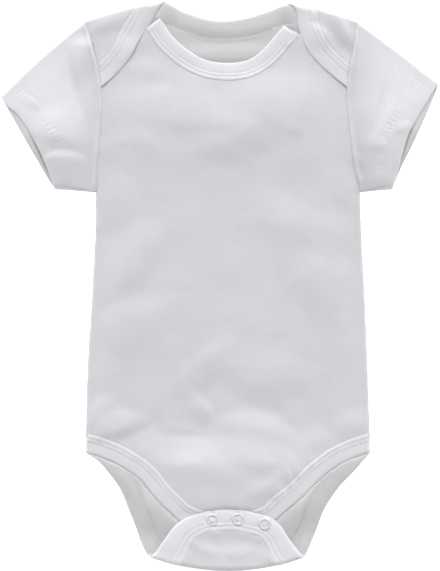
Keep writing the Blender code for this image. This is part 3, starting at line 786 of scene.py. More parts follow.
# Points across and along a strip of a cut. Each line along it ends where it meets the outline.
def stripGrid(line, widths, outline, shares):
    sample, overrun = strip["sample"], strip["overrun"]
    base = resampled(lengthened(line, overrun), sample)
    width = np.interp(np.arange(len(base)) * sample - overrun, lengthAlong(line), widths)
    normals = leftNormals(base) * width[:, None]
    ends = []
    for share in shares:
        tested = base + normals * max(share, 0.025)
        inside = np.flatnonzero(isInside(tested, outline))
        ends.append((inside[0], inside[-1]))
    total = max(b - a for a, b in ends) * sample
    stations = np.linspace(0, 1, round(total / strip["step"]) + 1)
    index = np.arange(len(base))
    grid = np.zeros((len(stations), len(shares), 2))
    along = np.zeros((len(stations), len(shares)))
    for k, (share, (first, last)) in enumerate(zip(shares, ends)):
        t = first + (last - first) * stations
        for axis in (0, 1):
            place = np.interp(t, index, base[:, axis])
            grid[:, k, axis] = place + np.interp(t, index, normals[:, axis]) * share
        along[:, k] = t * sample
    return grid, along


# inside is how much of the needle rows shows on the inner face
def makeBinding(name, line, widths, outline, place, dents=None, inside=0.0):
    shares, heights = np.array(bindingProfile).T
    grid, along = stripGrid(line, widths, outline, shares)
    stations, count, _ = grid.shape
    places, out, share = place(grid.reshape(-1, 2))
    share = share.reshape(stations, count)
    ridge = smooth((heights - 1) / 0.1)
    turn = 2 * pi * along / strip["gatherEvery"] + 1.3 * np.sin(along / 9.7)
    gather = strip["gather"] * (0.5 + 0.5 * np.sin(turn)) - strip["gather"] / 2
    slack = np.sin(along / 11.3) * 0.5 + np.sin(along / 6.1 + 2) * 0.35
    high = heights + ridge * gather + strip["slack"] * slack * (heights > 0.9)
    resting = np.interp(shares, *np.array(restingRows).T)
    resting[-1] = -high[:, -1].mean()
    plain = np.where(shares > 0.06, np.interp(shares, *np.array(plainRows).T), heights)
    plain[-1] = -resting[-1]
    outerSide = high * share + resting * (1 - share)
    innerSide = (plain + (high - plain) * inside) * (1 - share) + resting * share
    toEnd = np.minimum(np.arange(stations), np.arange(stations)[::-1]) * strip["step"]
    pinched = (1 - strip["endHeight"]) * smooth((toEnd + 0.2) / strip["endReach"])
    pressed = strip["endHeight"] + pinched[:, None]
    half = (cloth["laidRib"] + (cloth["rib"] * pressed - cloth["laidRib"]) * share) / 2
    sunk = (cloth["laidRib"] - cloth["wall"]) * (1 - share)
    dent = dents(places[:, :2]).reshape(stations, count) * share if dents else 0.0
    outer, inner = (
        (places + out * (rise - sunk + dent).reshape(-1, 1)).reshape(stations, count, 3)
        for rise in (half * (1 + outerSide), half * (1 - innerSide)))
    ring = np.concatenate([outer, inner[:, -2:0:-1]], axis=1)
    size = ring.shape[1]
    walked = np.concatenate([along, along[:, -2:0:-1]], axis=1)
    across = np.concatenate([shares, shares[-2:0:-1]]) * abs(widths[0])
    last = (stations - 1) * size
    faces = [(i + k, i + n, i + size + n, i + size + k)
             for i in range(0, last, size) for k, n in ringPairs(size)]
    slots = [int(k >= count - 1) for k in range(size)] * (stations - 1) + [0, 0]
    faces += [tuple(range(size))[::-1], tuple(range(last, last + size))]
    made = addPiece(name, ring.reshape(-1, 3), faces, rib, slots,
                    np.column_stack([walked.ravel(), np.tile(across, stations)]))
    columns = [list(shares).index(row) for row in strip["needleRows"]]
    return made, [(outer[:, k], share[:, k]) for k in columns]


# Nodes and materials

# A value is set on the input of that name, or else on the node itself
def setValues(node, values):
    for name, value in values.items():
        if name in node.inputs:
            node.inputs[name].default_value = value
        else:
            setattr(node, name, value)


def addNode(tree, kind, **values):
    node = tree.nodes.new(kind)
    row, place = divmod(len(tree.nodes), 8)
    node.location = (220 * place - 1900, -260 * row)
    setValues(node, values)
    return node


def addMath(tree, operation, *values):
    node = addNode(tree, "ShaderNodeMath", operation=operation)
    for socket, value in zip(node.inputs, values):
        if isinstance(value, (int, float)):
            socket.default_value = value
        else:
            tree.links.new(value, socket)
    return node.outputs[0]


# Each pair reads "node.output > node.input"
def join(tree, nodes, pairs):
    for pair in pairs:
        (start, output), (end, target) = (side.split(".") for side in pair.split(" > "))
        tree.links.new(nodes[start].outputs[output], nodes[end].inputs[target])


def addSockets(tree, direction, rows):
    for name, kind, *value in rows:
        made = tree.interface.new_socket(name, in_out=direction, socket_type="NodeSocket" + kind)
        if value:
            made.default_value = value[0]


def newMaterial(name, values):
    material = bpy.data.materials.new(name)
    material.use_nodes = True
    surface = material.node_tree.nodes["Principled BSDF"]
    setValues(surface, values)
    return material, material.node_tree, surface


# Loops of a knit in a cloth's own metres: columns of small slanted stitches
def buildKnitFace():
    tree = bpy.data.node_groups.new("knitFace", "ShaderNodeTree")
    addSockets(tree, "INPUT", (
        ("Cloth", "Vector"), ("Place", "Vector"), ("Yarn", "Color", (0.7, 0.7, 0.7, 1)),
        ("Wale", "Float", 0.0009), ("Course", "Float", 0.0007), ("Slant", "Float", 0.45),
        ("Mottle", "Float", 0.03), ("Loop shade", "Float", 0.05)))
    addSockets(tree, "OUTPUT", (("Color", "Color"), ("Roughness", "Float"), ("Height", "Float")))
    nodes = {
        "given": addNode(tree, "NodeGroupInput"),
        "result": addNode(tree, "NodeGroupOutput"),
        "parts": addNode(tree, "ShaderNodeSeparateXYZ"),
        "broad": addNode(tree, "ShaderNodeTexNoise", Scale=46, Detail=3),
        "fine": addNode(tree, "ShaderNodeTexNoise", Scale=650, Detail=2),
        "shade": addNode(tree, "ShaderNodeVectorMath", operation="SCALE"),
    }
    join(tree, nodes, ("given.Cloth > parts.Vector", "given.Place > broad.Vector",
                       "given.Place > fine.Vector", "given.Yarn > shade.Vector"))
    known = {socket.name: socket for socket in nodes["given"].outputs}
    known |= {"x": nodes["parts"].outputs["X"], "y": nodes["parts"].outputs["Y"],
              "broad": nodes["broad"].outputs["Fac"], "fine": nodes["fine"].outputs["Fac"]}
    for name, operation, *values in (
        ("u", "DIVIDE", "x", "Wale"),
        ("v", "DIVIDE", "y", "Course"),
        ("column", "FRACT", "u"),
        ("off", "SUBTRACT", "column", 0.5),
        ("off", "ABSOLUTE", "off"),
        ("leg", "MULTIPLY", "off", 2.0),
        ("lean", "MULTIPLY", "leg", "Slant"),
        ("turned", "ADD", "v", "lean"),
        ("turned", "MULTIPLY", "turned", 2 * pi),
        ("loop", "SINE", "turned"),
        ("loop", "MULTIPLY", "loop", 0.25),
        ("loop", "ADD", "loop", 0.75),
        ("plump", "MULTIPLY", "leg", pi),
        ("plump", "SINE", "plump"),
        ("height", "MULTIPLY", "plump", "loop"),
        ("cloud", "ADD", "broad", "fine"),
        ("cloud", "SUBTRACT", "cloud", 1.0),
        ("cloud", "MULTIPLY", "cloud", "Mottle"),
        ("dark", "SUBTRACT", 1.0, "height"),
        ("dark", "MULTIPLY", "dark", "Loop shade"),
        ("level", "SUBTRACT", "cloud", "dark"),
        ("level", "ADD", "level", 1.0),
        ("rough", "MULTIPLY", "fine", 0.12),
        ("rough", "ADD", "rough", 0.82),
        ("fuzz", "MULTIPLY", "fine", 0.4),
        ("raised", "ADD", "height", "fuzz"),
    ):
        known[name] = addMath(tree, operation, *(known.get(value, value) for value in values))
    tree.links.new(known["level"], nodes["shade"].inputs["Scale"])
    tree.links.new(nodes["shade"].outputs[0], nodes["result"].inputs["Color"])
    tree.links.new(known["rough"], nodes["result"].inputs["Roughness"])
    tree.links.new(known["raised"], nodes["result"].inputs["Height"])
    return tree


knitFace = buildKnitFace()

# width and height of a loop, and the depth of its relief
interlock = {"wale": 0.95, "course": 0.75, "depth": 0.07}
ribbed = {"wale": 1.1, "course": 0.8, "depth": 0.10}
finishes = {
    "jersey": {"yarn": (0.765, 0.765, 0.797), "mottle": 0.075, "sheen": 0.2, **interlock},
    # the sleeves are the same jersey with a paler yarn: painted light for how brightly they are lit
    "sleeve": {"yarn": (0.785, 0.785, 0.818), "mottle": 0.075, "sheen": 0.2, **interlock},
    "rib": {"yarn": (0.85, 0.85, 0.882), "mottle": 0.03, "sheen": 0.2, **ribbed},
    # the inner faces are darker copies of the same yarns: painted shade for where they show inside
    # the neck, the leg openings and the sleeve hems
    "jerseyInside": {"yarn": (0.607, 0.599, 0.608), "mottle": 0.035, "sheen": 0.15, **interlock},
    "sleeveInside": {"yarn": (0.655, 0.643, 0.642), "mottle": 0.035, "sheen": 0.15, **interlock},
    "ribInside": {"yarn": (0.637, 0.629, 0.639), "mottle": 0.03, "sheen": 0.15, **ribbed},
}


def clothMaterial(name):
    values = finishes[name]
    material, tree, surface = newMaterial(name, {
        "Metallic": 0.0, "Specular IOR Level": 0.25, "Sheen Weight": values["sheen"],
        "Sheen Roughness": 0.5, "Subsurface Weight": 0.35,
        "Subsurface Radius": (1.0, 1.0, 1.0), "Subsurface Scale": 2.0 * mm})
    nodes = {
        "surface": surface,
        "uv": addNode(tree, "ShaderNodeUVMap", uv_map="cutMetres"),
        "place": addNode(tree, "ShaderNodeTexCoord"),
        "face": addNode(tree, "ShaderNodeGroup", node_tree=knitFace),
        "relief": addNode(tree, "ShaderNodeBump", Strength=0.8, Distance=values["depth"] * mm),
    }
    setValues(nodes["face"], {"Yarn": (*values["yarn"], 1), "Wale": values["wale"] * mm,
                              "Course": values["course"] * mm, "Mottle": values["mottle"]})
    join(tree, nodes, (
        "uv.UV > face.Cloth", "place.Object > face.Place", "face.Color > surface.Base Color",
        "face.Roughness > surface.Roughness", "face.Height > relief.Height",
        "relief.Normal > surface.Normal"))
    return material


# A finish with a fine grain between a dark and a pale tone
def grainyMaterial(name, dark, pale, grain, values):
    material, tree, surface = newMaterial(name, values)
    nodes = {
        "surface": surface,
        "place": addNode(tree, "ShaderNodeTexCoord"),
        "grain": addNode(tree, "ShaderNodeTexNoise", **grain),
        "ramp": addNode(tree, "ShaderNodeValToRGB"),
    }
    for stop, color in zip(nodes["ramp"].color_ramp.elements, (dark, pale)):
        stop.color = (*color, 1)
    join(tree, nodes, ("place.Object > grain.Vector", "grain.Fac > ramp.Fac",
                       "ramp.Color > surface.Base Color"))
    return material, tree, nodes


def threadMaterial():
    material, tree, nodes = grainyMaterial(
        "thread", (0.72, 0.72, 0.75), (0.86, 0.86, 0.88), {"Scale": 900},
        {"Roughness": 0.6, "Sheen Weight": 0.3})
    nodes["relief"] = addNode(tree, "ShaderNodeBump", Distance=0.05 * mm)
    join(tree, nodes, ("grain.Fac > relief.Height", "relief.Normal > surface.Normal"))
    return material


def enamelMaterial():
    material, tree, nodes = grainyMaterial(
        "snapEnamel", (0.68, 0.68, 0.71), (0.80, 0.80, 0.82), {"Scale": 700, "Detail": 4},
        {"Coat Weight": 0.3, "Coat Roughness": 0.25})
    rough = addMath(tree, "MULTIPLY", nodes["grain"].outputs["Fac"], 0.3)
    rough = addMath(tree, "ADD", rough, 0.3)
    tree.links.new(rough, nodes["surface"].inputs["Roughness"])
    return material


# the outer and the inner face of each cloth; the inner face's yarn is darker, painted shade for
# where it shows inside the openings
# the sleeves' outer face is paler than the jersey's, painted light
jersey, rib, sleeve = ([clothMaterial(name), clothMaterial(name + "Inside")]
                       for name in ("jersey", "rib", "sleeve"))
thread = threadMaterial()
enamel = enamelMaterial()
print("materials ready")


snaps = {
    "places": [(-5.5, -168.0), (13.0, -167.6), (32.0, -171.0)],
    "radius": 4.3,
    "hole": 2.7,
    "low": 7.25,
    "high": 7.85,
    "steps": 60,
    "prongs": 5,
    "wave": (0.09, 0.10),   # how far each prong pulls the rim out and up
    "dent": 0.5,            # worn unevenness of the rim
    # how the cloth lies round a snap
    "press": 0.35,
    "puff": 0.35,
    "rumple": 1.0,
    "rumpleSize": 2.1,
}


# The cloth is pressed down under each snap ring and puffs up in its hole
def snapDents(flat):
    depth = np.zeros(len(flat))
    size = snaps["rumpleSize"]
    rumple = np.array([noise.noise(Vector((a / size, b / size, 5))) for a, b in flat])
    for x, y in snaps["places"]:
        r = np.hypot(flat[:, 0] - x, flat[:, 1] - y)
        angle = np.arctan2(flat[:, 1] - y, flat[:, 0] - x)
        depth -= snaps["press"] * fading(r - 4.8, 1.4) * (1 + 0.6 * np.sin(4 * angle + x))
        depth += snaps["puff"] * fading(r, 2.0) * (1 + 0.5 * np.sin(2 * angle + x + r))
        depth += snaps["rumple"] * rumple * fading(r, 5.5, 4)
    return depth


# Panels and bindings

points, triangles = cutPanel(
    frontOutline, [(frontLegLine, frontLegWidths), (frontNeckLine, frontNeckWidths)])
frontPanel = makeLayer("frontPanel", points, np.column_stack([points, frontTop(points)]),
                       triangles, jersey)

bends = bendLines(shoulders["left"], -75, 35)
bends += bendLines(shoulders["right"], -25, 75)
bends += bendLines(crotch, -77, 66)
points, triangles = cutPanel(
    backOutline, [(legLine, legWidths), (neckLine, neckWidths)], bends)
backPanel = makeLayer("backPanel", points, backOuter(points), triangles[:, ::-1], jersey)

frontNeck, frontNeckRows = makeBinding(
    "frontNeckBinding", frontNeckLine, frontNeckWidths, frontOutline, placeFront)
frontLeg, frontLegRows = makeBinding(
    "frontLegBinding", frontLegLine, frontLegWidths, frontOutline, placeFront)
backNeck, backNeckRows = makeBinding(
    "backNeckBinding", neckLine, neckWidths, backOutline, placeBack)
backLeg, backLegRows = makeBinding(
    "backLegBinding", legLine, legWidths, backOutline, placeBack, snapDents, 0.3)
print("bindings ready")


# Sleeves

sleeves = {
    "length": 60.0,
    "hemDepth": 17.0,             # how far the hem is turned in
    "hemStep": (0.6, 1.4),        # where the wall thickens behind it, and how gently
    "topBow": {"left": 1.4, "right": 0.3},   # how far the top fold bows outward
    "tuckedIn": 0.6,              # the armhole's edge is sewn in under the body's
    "hemWall": 1.5,
    "needleRows": (16.8, 12.8),   # from the edge of the hem
    "sunk": 0.12,                 # how deep their thread lies in the cloth
    # y and height of the outer face along the armhole, from the underarm up
    "seam": [(67, 2.9), (80, 3.5), (98, 4.3), (120, 4.3), (138, 4.5), (150, 4.9), (168, 5.6),
             (190.5, 4.4)],
    "cuff": [(0, 2.5), (0.3, 3.2), (0.6, 3.8), (1, 3.0)],   # from the top fold to the underarm
    "pillow": 11.8,
    "round": [(0, 0), (0.1, 0.17), (0.3, 0.59), (0.45, 0.86), (0.58, 0.98), (0.7, 1.0),
              (0.8, 0.975), (0.9, 0.91), (1, 0.82)],
    "out": [(0, 0), (0.13, 0.10), (0.3, 0.5), (0.5, 0.88), (0.7, 1.0), (0.84, 0.9),
            (0.92, 0.83), (0.96, 0.77), (1, 0.66)],
    "underLift": 3.2,     # how far the fold at the underarm stands off the table
    "rearLift": 9.0,      # how far the rear hem may stand off the table
    "hemRoom": 0.15,      # between the two hems where they lie on each other
    # height of each of these, then where it lies from the seam or the hem and its reach
    "ridge": (0.7, 2.1, 1.2),
    "groove": (0.06, 0.8),
    "ripple": (0.12, 15, 5),
    "pucker": (0.14, 6),
    "seamDrop": (0.45, 1.7),
    # between the rows of the hem the cloth is drawn into small rungs
    "rung": (0.15, 14.8, 2.3),
    "rungEvery": 2.9,
    # points across its upper and its lower side, and round a fold
    "acrossTop": 112,
    "acrossUnder": 24,
    "roundFold": 7,
    "creases": {
        "left": [
            (-107, 178, -94, 114, -4, 5, 7, -1.4),
            (-114, 172, -86, 170, 0, 10, 32, 2.6),
            (-140, 113, -86, 98, 1, 26, 12, 1.5),
            (-134, 86, -88, 84, 6, 7, 16, 1.3),
            (-150, 138, -124, 124, 1, 5, 6, 0.4),
        ],
        "right": [
            (122, 164, 103, 102, 5, 8, 6, -1.2),
            (98, 101, 122, 99, 1, 9, 8, 0.8),
            (120, 109, 142, 115, 0, 7, 5, 0.7),
            (98, 94, 105, 84, 0, 2.5, 3, 0.5),
            (98, 80, 106, 71, 0, 3, 2.5, 0.7),
            (100, 71.5, 132, 70.5, 0, 15, 2.5, 1.0),
        ],
    },
}


def makeSleeve(name, side):
    hole = curveThrough(sidePoints("armhole", side)[::-1], 1.0)
    hole[:, 0] += signs[side] * sleeves["tuckedIn"]
    edges = {layer: curveThrough([(row[k], row[0]) for row in hems[side]], 1.0)
             for layer, k in (("front", 1), ("rear", 2))}
    shoulder = shoulders[side]["outward"]
    seamHeights, cuffHeights, roundShares, outShares = (
        heightsAlong([(place * 100, height) for place, height in sleeves[key]])
        for key in ("seam", "cuff", "round", "out"))
    across = edges["front"][0] - hole[0]
    upward = unit(np.array([-across[1], across[0]]) * -signs[side])

    # v goes from the top fold to the underarm, share from the armhole to the hem
    def ends(v, layer):
        edge = edges[layer]
        return atLength(hole, v * lengthAlong(hole)[-1]), atLength(edge, v * lengthAlong(edge)[-1])

    def at(v, share, layer):
        start, end = ends(v, layer)
        share = np.asarray(share)
        bow = sleeves["topBow"][side] * 4 * share * (1 - share) * fading(v, 0.3)
        return start + (end - start) * share[..., None] + upward * bow[..., None]

    def fromHem(v, share, layer):
        start, end = ends(v, layer)
        return (1 - share) * np.linalg.norm(end - start, axis=-1)

    def top(v, share):
        start, end = ends(v, "front")
        size = np.linalg.norm(end - start, axis=-1)
        fromSeam, toHem = share * size, (1 - share) * size
        x, y = at(v, share, "front").T
        low = np.interp(start[:, 1] * 100, *seamHeights)
        body = 4 * v * (1 - v)
        height = low + (np.interp(v * 100, *cuffHeights) - low) * smooth(share)
        swell = np.interp(v * 100, *roundShares) * np.interp(share * 100, *outShares)
        height += sleeves["pillow"] * swell
        height += np.sqrt(body) * (reliefAt(sleeves["creases"][side], x, y) + crumple(x, y, 7.5))
        rise, place, spread = sleeves["ridge"]
        height += rise * fading(fromSeam - place, spread) * smooth(6 * body)
        drop, spread = sleeves["seamDrop"]
        height -= drop * (1 - quarter(fromSeam / spread))
        depth, spread = sleeves["groove"]
        for row in sleeves["needleRows"]:
            height -= depth * fading(toHem - row, spread)
        along = v * np.linalg.norm(edges["front"][-1] - edges["front"][0])
        turn = 2 * pi * along / sleeves["rungEvery"] + np.sin(along / 4)
        uneven = 0.6 + 0.4 * np.sin(along / 6.3 + 1)
        rise, place, spread = sleeves["rung"]
        between = fading(toHem - place, spread, 4)
        height += rise * uneven * np.sin(turn) * between * smooth(4 * body)
        around = v * 110
        wave = np.sin(around / 1.9) * 0.5 + np.sin(around / 3.1 + 1) * 0.5
        rise, place, spread = sleeves["ripple"]
        height += rise * wave * fading(toHem - place, spread)
        rise, spread = sleeves["pucker"]
        height += rise * np.sin(around / 2.3 + 2) * fading(fromSeam, spread)
        return height

    # One ring of the tube: its points, the way out of the cloth and how far off the hem is
    def section(share):
        share = float(share)
        tip = at(np.array([0.0, 1.0]), share, "rear")
        length = np.linalg.norm(tip[1] - tip[0])
        inset = np.array([0.02, 0.02])
        raised = np.array([0, sleeves["underLift"] * smooth(share / 0.4)])
        for _ in range(2):
            radii = (top(np.array([inset[0], 1 - inset[1]]), share) - raised) / 2
            inset = radii / length
        low, high = inset[0], 1 - inset[1]

        def fold(end, v):
            turns = pi * np.arange(1, sleeves["roundFold"] + 1) / (sleeves["roundFold"] + 1)
            if end:
                turns = turns[::-1]
            edge = at(np.array([float(end), v]), share, "rear")
            outward = unit(edge[0] - edge[1])
            if not end:
                outward = unit(outward * share + shoulder * (1 - share))
            every = np.full(len(turns), v)
            rear, near = at(every, share, "rear"), at(every, share, "front")
            mixed = rear + (near - rear) * (turns / pi)[:, None]
            plan = mixed + outward * (radii[end] * np.sin(turns))[:, None]
            out = np.column_stack([outward * np.sin(turns)[:, None], -np.cos(turns)])
            height = raised[end] + radii[end] * (1 - np.cos(turns))
            return np.column_stack([plan, height]), out, fromHem(every, share, "front")

        def face(v, height, layer, up):
            out = np.tile([0.0, 0.0, up], (len(v), 1))
            return np.column_stack([at(v, share, layer), height]), out, fromHem(v, share, layer)

        v = np.linspace(high, low, sleeves["acrossUnder"])
        room = top(v, share) - 2 * sleeves["hemWall"] - sleeves["hemRoom"]
        lift = np.clip(room, 0, sleeves["rearLift"]) * smooth(12 * v * (1 - v))
        lift *= smooth((share - 0.62) / 0.38)
        lift = np.maximum(lift, raised[1] * smooth((v - 0.55) / (high - 0.55)))
        under = face(v, lift, "rear", -1.0)
        v = np.linspace(low, high, sleeves["acrossTop"])
        over = face(v, top(v, share), "front", 1.0)
        parts = (under, fold(0, low), over, fold(1, high))
        return [np.concatenate(columns) for columns in zip(*parts)]

    reach, half = sleeves["length"], sleeves["hemWall"] / 2
    distances = [0, 0.3, 0.7, 1.2, 1.8, 2.5, 3.3, 4.3, 5.5, *np.arange(7, 41, 1.5),
                 *np.arange(41.5, 48.5, 0.5), *np.arange(49.5, 58.5, 1.5)]
    stations = [(distance / reach, 0.0) for distance in distances]
    for angle in (0, 22, 44, 64, 80):  # the hem's edge is round
        turned = radians(angle)
        stations.append(((reach - half + half * sin(turned)) / reach, half * (1 - cos(turned))))
    outerRows, innerRows = [], []
    behind, gentle = sleeves["hemStep"]
    for share, inset in stations:
        places, outs, toHem = section(share)
        thick = smooth((sleeves["hemDepth"] + behind - toHem) / gentle)
        wall = cloth["jersey"] + (sleeves["hemWall"] - cloth["jersey"]) * thick
        outerRows.append(places - outs * inset)
        innerRows.append(places - outs * (wall - inset)[:, None])
    size, count = len(outerRows[0]), len(stations)
    middle = outerRows[count // 2]
    around = lengthAlong(np.array([*middle, middle[0]]))
    walked = [share * reach for share, _ in stations] * 2
    # outer rows, inner rows, and the rims that close the wall at the armhole and at the hem
    bands = [(i, i + 1, 0) for i in range(count - 1)]
    bands += [(count + i, count + i + 1, 1) for i in range(count - 1)]
    bands += [(0, count, 0), (count - 1, 2 * count - 1, 0)]
    faces, flat = [], []
    for a, b, _ in bands:
        for k, n in ringPairs(size):
            faces.append((a * size + k, a * size + n, b * size + n, b * size + k))
            flat += [(around[k], walked[a]), (around[k + 1], walked[a]),
                     (around[k + 1], walked[b]), (around[k], walked[b])]
    made = addPiece(name, np.concatenate([*outerRows, *innerRows]), faces, sleeve,
                    [band[2] for band in bands for _ in range(size)], flat)
    paths = []
    for row in sleeves["needleRows"]:
        v = np.linspace(0.05, 0.95, 120)
        share = 1 - row / fromHem(v, 0, "front")
        paths.append(np.column_stack([at(v, share, "front"), top(v, share) - sleeves["sunk"]]))
    return made, paths


sleeveRight, sleeveRightRows = makeSleeve("sleeveRight", "left")
sleeveLeft, sleeveLeftRows = makeSleeve("sleeveLeft", "right")
print("sleeves ready")


# Stitches follow curves that lie in the needle grooves

stitches = {
    "spacing": 3.1,
    "length": 2.5,
    "thread": 0.42,
    "lift": 0.06,     # how far the thread stands out of its groove
    "sway": 0.10,     # how much the stitches turn out of line, in radians
    "seed": 4,
    "shortest": 4,    # points of a row worth sewing
}
# those of the hems are short and slanted
hemStitches = {**stitches, "spacing": 2.9, "length": 1.6, "sway": 0.6, "seed": 9}


def buildStitchTree():
    tree = bpy.data.node_groups.new("stitchesAlongPath", "GeometryNodeTree")
    addSockets(tree, "INPUT", (
        ("Path", "Geometry"), ("Spacing", "Float"), ("Length", "Float"), ("Thread", "Float"),
        ("Sway", "Float"), ("Seed", "Int"), ("Finish", "Material")))
    addSockets(tree, "OUTPUT", (("Stitches", "Geometry"),))
    nodes = {
        "given": addNode(tree, "NodeGroupInput"),
        "result": addNode(tree, "NodeGroupOutput"),
        "points": addNode(tree, "GeometryNodeCurveToPoints", mode="LENGTH"),
        "ball": addNode(tree, "GeometryNodeMeshUVSphere", Segments=7, Rings=5, Radius=0.5),
        "size": addNode(tree, "ShaderNodeCombineXYZ"),
        "shaped": addNode(tree, "GeometryNodeTransform"),
        "turn": addNode(tree, "FunctionNodeAlignRotationToVector", axis="X"),
        "sway": addNode(tree, "FunctionNodeRandomValue", data_type="FLOAT_VECTOR"),
        "parts": addNode(tree, "ShaderNodeSeparateXYZ"),
        "spin": addNode(tree, "ShaderNodeCombineXYZ"),
        "rotate": addNode(tree, "FunctionNodeRotateRotation"),
        "placed": addNode(tree, "GeometryNodeInstanceOnPoints"),
        "real": addNode(tree, "GeometryNodeRealizeInstances"),
        "softened": addNode(tree, "GeometryNodeSetShadeSmooth"),
        "finish": addNode(tree, "GeometryNodeSetMaterial"),
    }
    join(tree, nodes, (
        "given.Path > points.Curve", "given.Spacing > points.Length",
        "given.Length > size.X", "given.Thread > size.Y", "given.Thread > size.Z",
        "ball.Mesh > shaped.Geometry", "size.Vector > shaped.Scale",
        "points.Tangent > turn.Vector", "given.Sway > sway.Max", "given.Seed > sway.Seed",
        "sway.Value > parts.Vector", "parts.Z > spin.Z",
        "turn.Rotation > rotate.Rotation", "spin.Vector > rotate.Rotate By",
        "points.Points > placed.Points", "shaped.Geometry > placed.Instance",
        "rotate.Rotation > placed.Rotation", "placed.Instances > real.Geometry",
        "real.Geometry > softened.Geometry", "softened.Geometry > finish.Geometry",
        "given.Finish > finish.Material", "finish.Geometry > result.Stitches"))
    swayLow = addMath(tree, "MULTIPLY", nodes["given"].outputs["Sway"], -1)
    tree.links.new(swayLow, nodes["sway"].inputs["Min"])
    return tree


stitchTree = buildStitchTree()


def sew(name, paths, values=stitches):
    curve = bpy.data.curves.new(name + "Path", "CURVE")
    curve.dimensions = "3D"
    for path in paths:
        spline = curve.splines.new("POLY")
        spline.points.add(len(path) - 1)
        places = np.column_stack([path * mm, np.ones(len(path))])
        spline.points.foreach_set("co", places.ravel())
    guide = addObject(name + "Path", curve)
    maker = guide.modifiers.new("stitches", "NODES")
    maker.node_group = stitchTree
    inputs = {"Sway": values["sway"], "Seed": values["seed"], "Finish": thread}
    inputs |= {key.title(): values[key] * mm for key in ("spacing", "length", "thread")}
    for socket in stitchTree.interface.items_tree:
        if socket.name in inputs:
            maker[socket.identifier] = inputs[socket.name]
    graph = bpy.context.evaluated_depsgraph_get()
    mesh = bpy.data.meshes.new_from_object(guide.evaluated_get(graph))
    mesh.name = name
    bpy.data.objects.remove(guide)
    bpy.data.curves.remove(curve)
    return addObject(name, mesh)


# The part of a row that shows on the outer face. Inside the openings the thread is sunk in the nap.
def shownRows(rows):
    paths = []
    for outer, share in rows:
        over = share > 0.02
        starts = [0, *(np.flatnonzero(np.diff(over.astype(int))) + 1), len(over)]
        for first, last in zip(starts, starts[1:]):
            if over[first] and last - first >= stitches["shortest"]:
                paths.append(outer[first:last] + [0, 0, stitches["lift"]])
    return paths


stitchesNeck = sew("stitchesNeck", shownRows(frontNeckRows))
stitchesFrontLegs = sew("stitchesFrontLegs", shownRows(frontLegRows))
stitchesLaps = sew("stitchesLaps", shownRows(backNeckRows))
stitchesBackLegs = sew("stitchesBackLegs", shownRows(backLegRows))
stitchesHems = sew("stitchesHems", [*sleeveRightRows, *sleeveLeftRows], hemStitches)
print("stitches ready")


# Snaps

def makeSnapRing(number, x, y):
    radius, hole = snaps["radius"], snaps["hole"]
    low, high = snaps["low"], snaps["high"]
    pulled, raised = snaps["wave"]
    tall = high - low
    profile = [
        (hole + 0.25, low - 0.2), (hole, low + 0.3 * tall), (hole + 0.12, low + 0.72 * tall),
        (hole + 0.4, low + 0.93 * tall), (hole + 0.8, high), (radius - 0.75, high),
        (radius - 0.35, low + 0.92 * tall), (radius - 0.08, low + 0.65 * tall),
        (radius, low + 0.3 * tall), (radius - 0.15, low - 0.1),
    ]
    points = []
    for k in range(snaps["steps"]):
        angle = 2 * pi * k / snaps["steps"]
        wave = cos(snaps["prongs"] * angle + number)
        uneven = snaps["dent"] * noise.noise(Vector((1.9 * cos(angle), 1.9 * sin(angle), number)))
        for r, z in profile:
            up = (z - low) / tall
            spread = r + (pulled * wave + 0.6 * uneven) * up
            height = z + (raised * wave + uneven) * up
            points.append((x + spread * cos(angle), y + spread * sin(angle), height))
    size = len(profile)
    faces = [(k * size + j, n * size + j, n * size + m, k * size + m)
             for k, n in ringPairs(snaps["steps"]) for j, m in ringPairs(size)]
    return addPiece(f"snapRing{number}", points, faces, [enamel])


snapRings = [makeSnapRing(number, x, y) for number, (x, y) in enumerate(snaps["places"], 1)]
for number in (1, 2, 3):
    for part in ("socket", "stud"):
        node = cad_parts[f"snap_{part}_{number}"]
        for slot in node.material_slots:
            slot.material = enamel
print("snaps ready")


# Everything rides on the one body: piece, finish and the nodes that it stands for
pieces = [
    (frontPanel, "interlock", ["front_panel"]),
    (backPanel, "interlock", ["back_panel"]),
    (sleeveRight, "interlock", ["sleeve_right"]),
    (sleeveLeft, "interlock", ["sleeve_left"]),
    (frontNeck, "rib", ["front_neck_binding"]),
    (backNeck, "rib", ["back_neck_binding"]),
    (frontLeg, "rib", ["front_leg_binding"]),
    (backLeg, "rib", ["back_leg_binding"]),
]
pieces += [(piece, "rib", [])
           for piece in (stitchesNeck, stitchesLaps, stitchesFrontLegs, stitchesBackLegs)]
pieces.append((stitchesHems, "interlock", []))
pieces += [(ring, "snap", [f"snap_cap_{number}"]) for number, ring in enumerate(snapRings, 1)]
for piece, slot, nodes in pieces:
    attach(piece, "root")
    if nodes:
        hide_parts(*nodes)


# Table, lights and camera

studio = {
    "tableSize": 30.0,
    "tableDrop": 0.6,
    "tableColor": 0.5,
    "tableGlow": 1.3,
    "keyElevation": 34.0,
    "keyAngle": 65.0,      # how wide the light looks from the table; wider is softer
    "keyStrength": 2.9,
    "sky": 0.34,
    "horizon": 1.0,       # the walls around are paler than what hangs above
    "lens": 85.0,
    "sensor": 36.0,
    "cameraHeight": 0.9737,
}


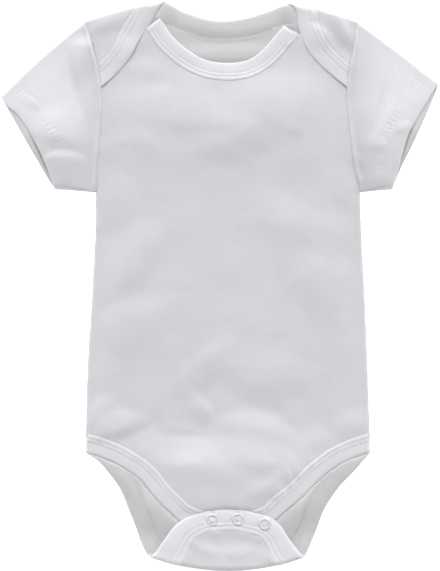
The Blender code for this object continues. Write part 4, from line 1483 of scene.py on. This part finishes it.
def makeTable():
    half = studio["tableSize"] / 2
    z = -studio["tableDrop"] * mm
    mesh = bpy.data.meshes.new("table")
    mesh.from_pydata([(-half, -half, z), (half, -half, z), (half, half, z), (-half, half, z)],
                     [], [(0, 1, 2, 3)])
    grey = studio["tableColor"]
    material, _, _ = newMaterial("tableTop", {
        "Base Color": (grey, grey, grey, 1), "Roughness": 0.9,
        "Emission Color": (1, 1, 1, 1), "Emission Strength": studio["tableGlow"]})
    mesh.materials.append(material)
    table = addObject("table", mesh)


def makeLights():
    light = bpy.data.lights.new("key", "SUN")
    light.angle = radians(studio["keyAngle"])
    light.energy = studio["keyStrength"]
    key = addObject("key", light)
    rise = radians(studio["keyElevation"])
    key.location = (0, cos(rise), sin(rise))
    key.rotation_euler = (Vector() - key.location).to_track_quat("-Z", "Y").to_euler()
    world = bpy.data.worlds.new("studio")
    world.use_nodes = True
    tree = world.node_tree
    nodes = {
        "background": tree.nodes["Background"],
        "around": addNode(tree, "ShaderNodeTexCoord"),
        "parts": addNode(tree, "ShaderNodeSeparateXYZ"),
        "wall": addNode(tree, "ShaderNodeMapRange"),
        "ray": addNode(tree, "ShaderNodeLightPath"),
        "glow": addNode(tree, "ShaderNodeMapRange"),
    }
    setValues(nodes["wall"], {"From Max": 0.6, "To Min": studio["horizon"],
                              "To Max": studio["sky"]})
    setValues(nodes["glow"], {"To Max": 1.0})
    setValues(nodes["background"], {"Color": (1, 1, 1, 1)})
    join(tree, nodes, (
        "around.Generated > parts.Vector", "parts.Z > wall.Value", "wall.Result > glow.To Min",
        "ray.Is Camera Ray > glow.Value", "glow.Result > background.Strength"))
    bpy.context.scene.world = world
    bpy.context.scene.view_settings.view_transform = "Standard"


def makeCamera():
    data = bpy.data.cameras.new("above")
    data.lens = studio["lens"]
    data.sensor_width = studio["sensor"]
    camera = addObject("above", data)
    camera.location = (0, 0, studio["cameraHeight"])
    bpy.context.scene.camera = camera


makeTable()
makeLights()
makeCamera()
bpy.context.view_layer.update()
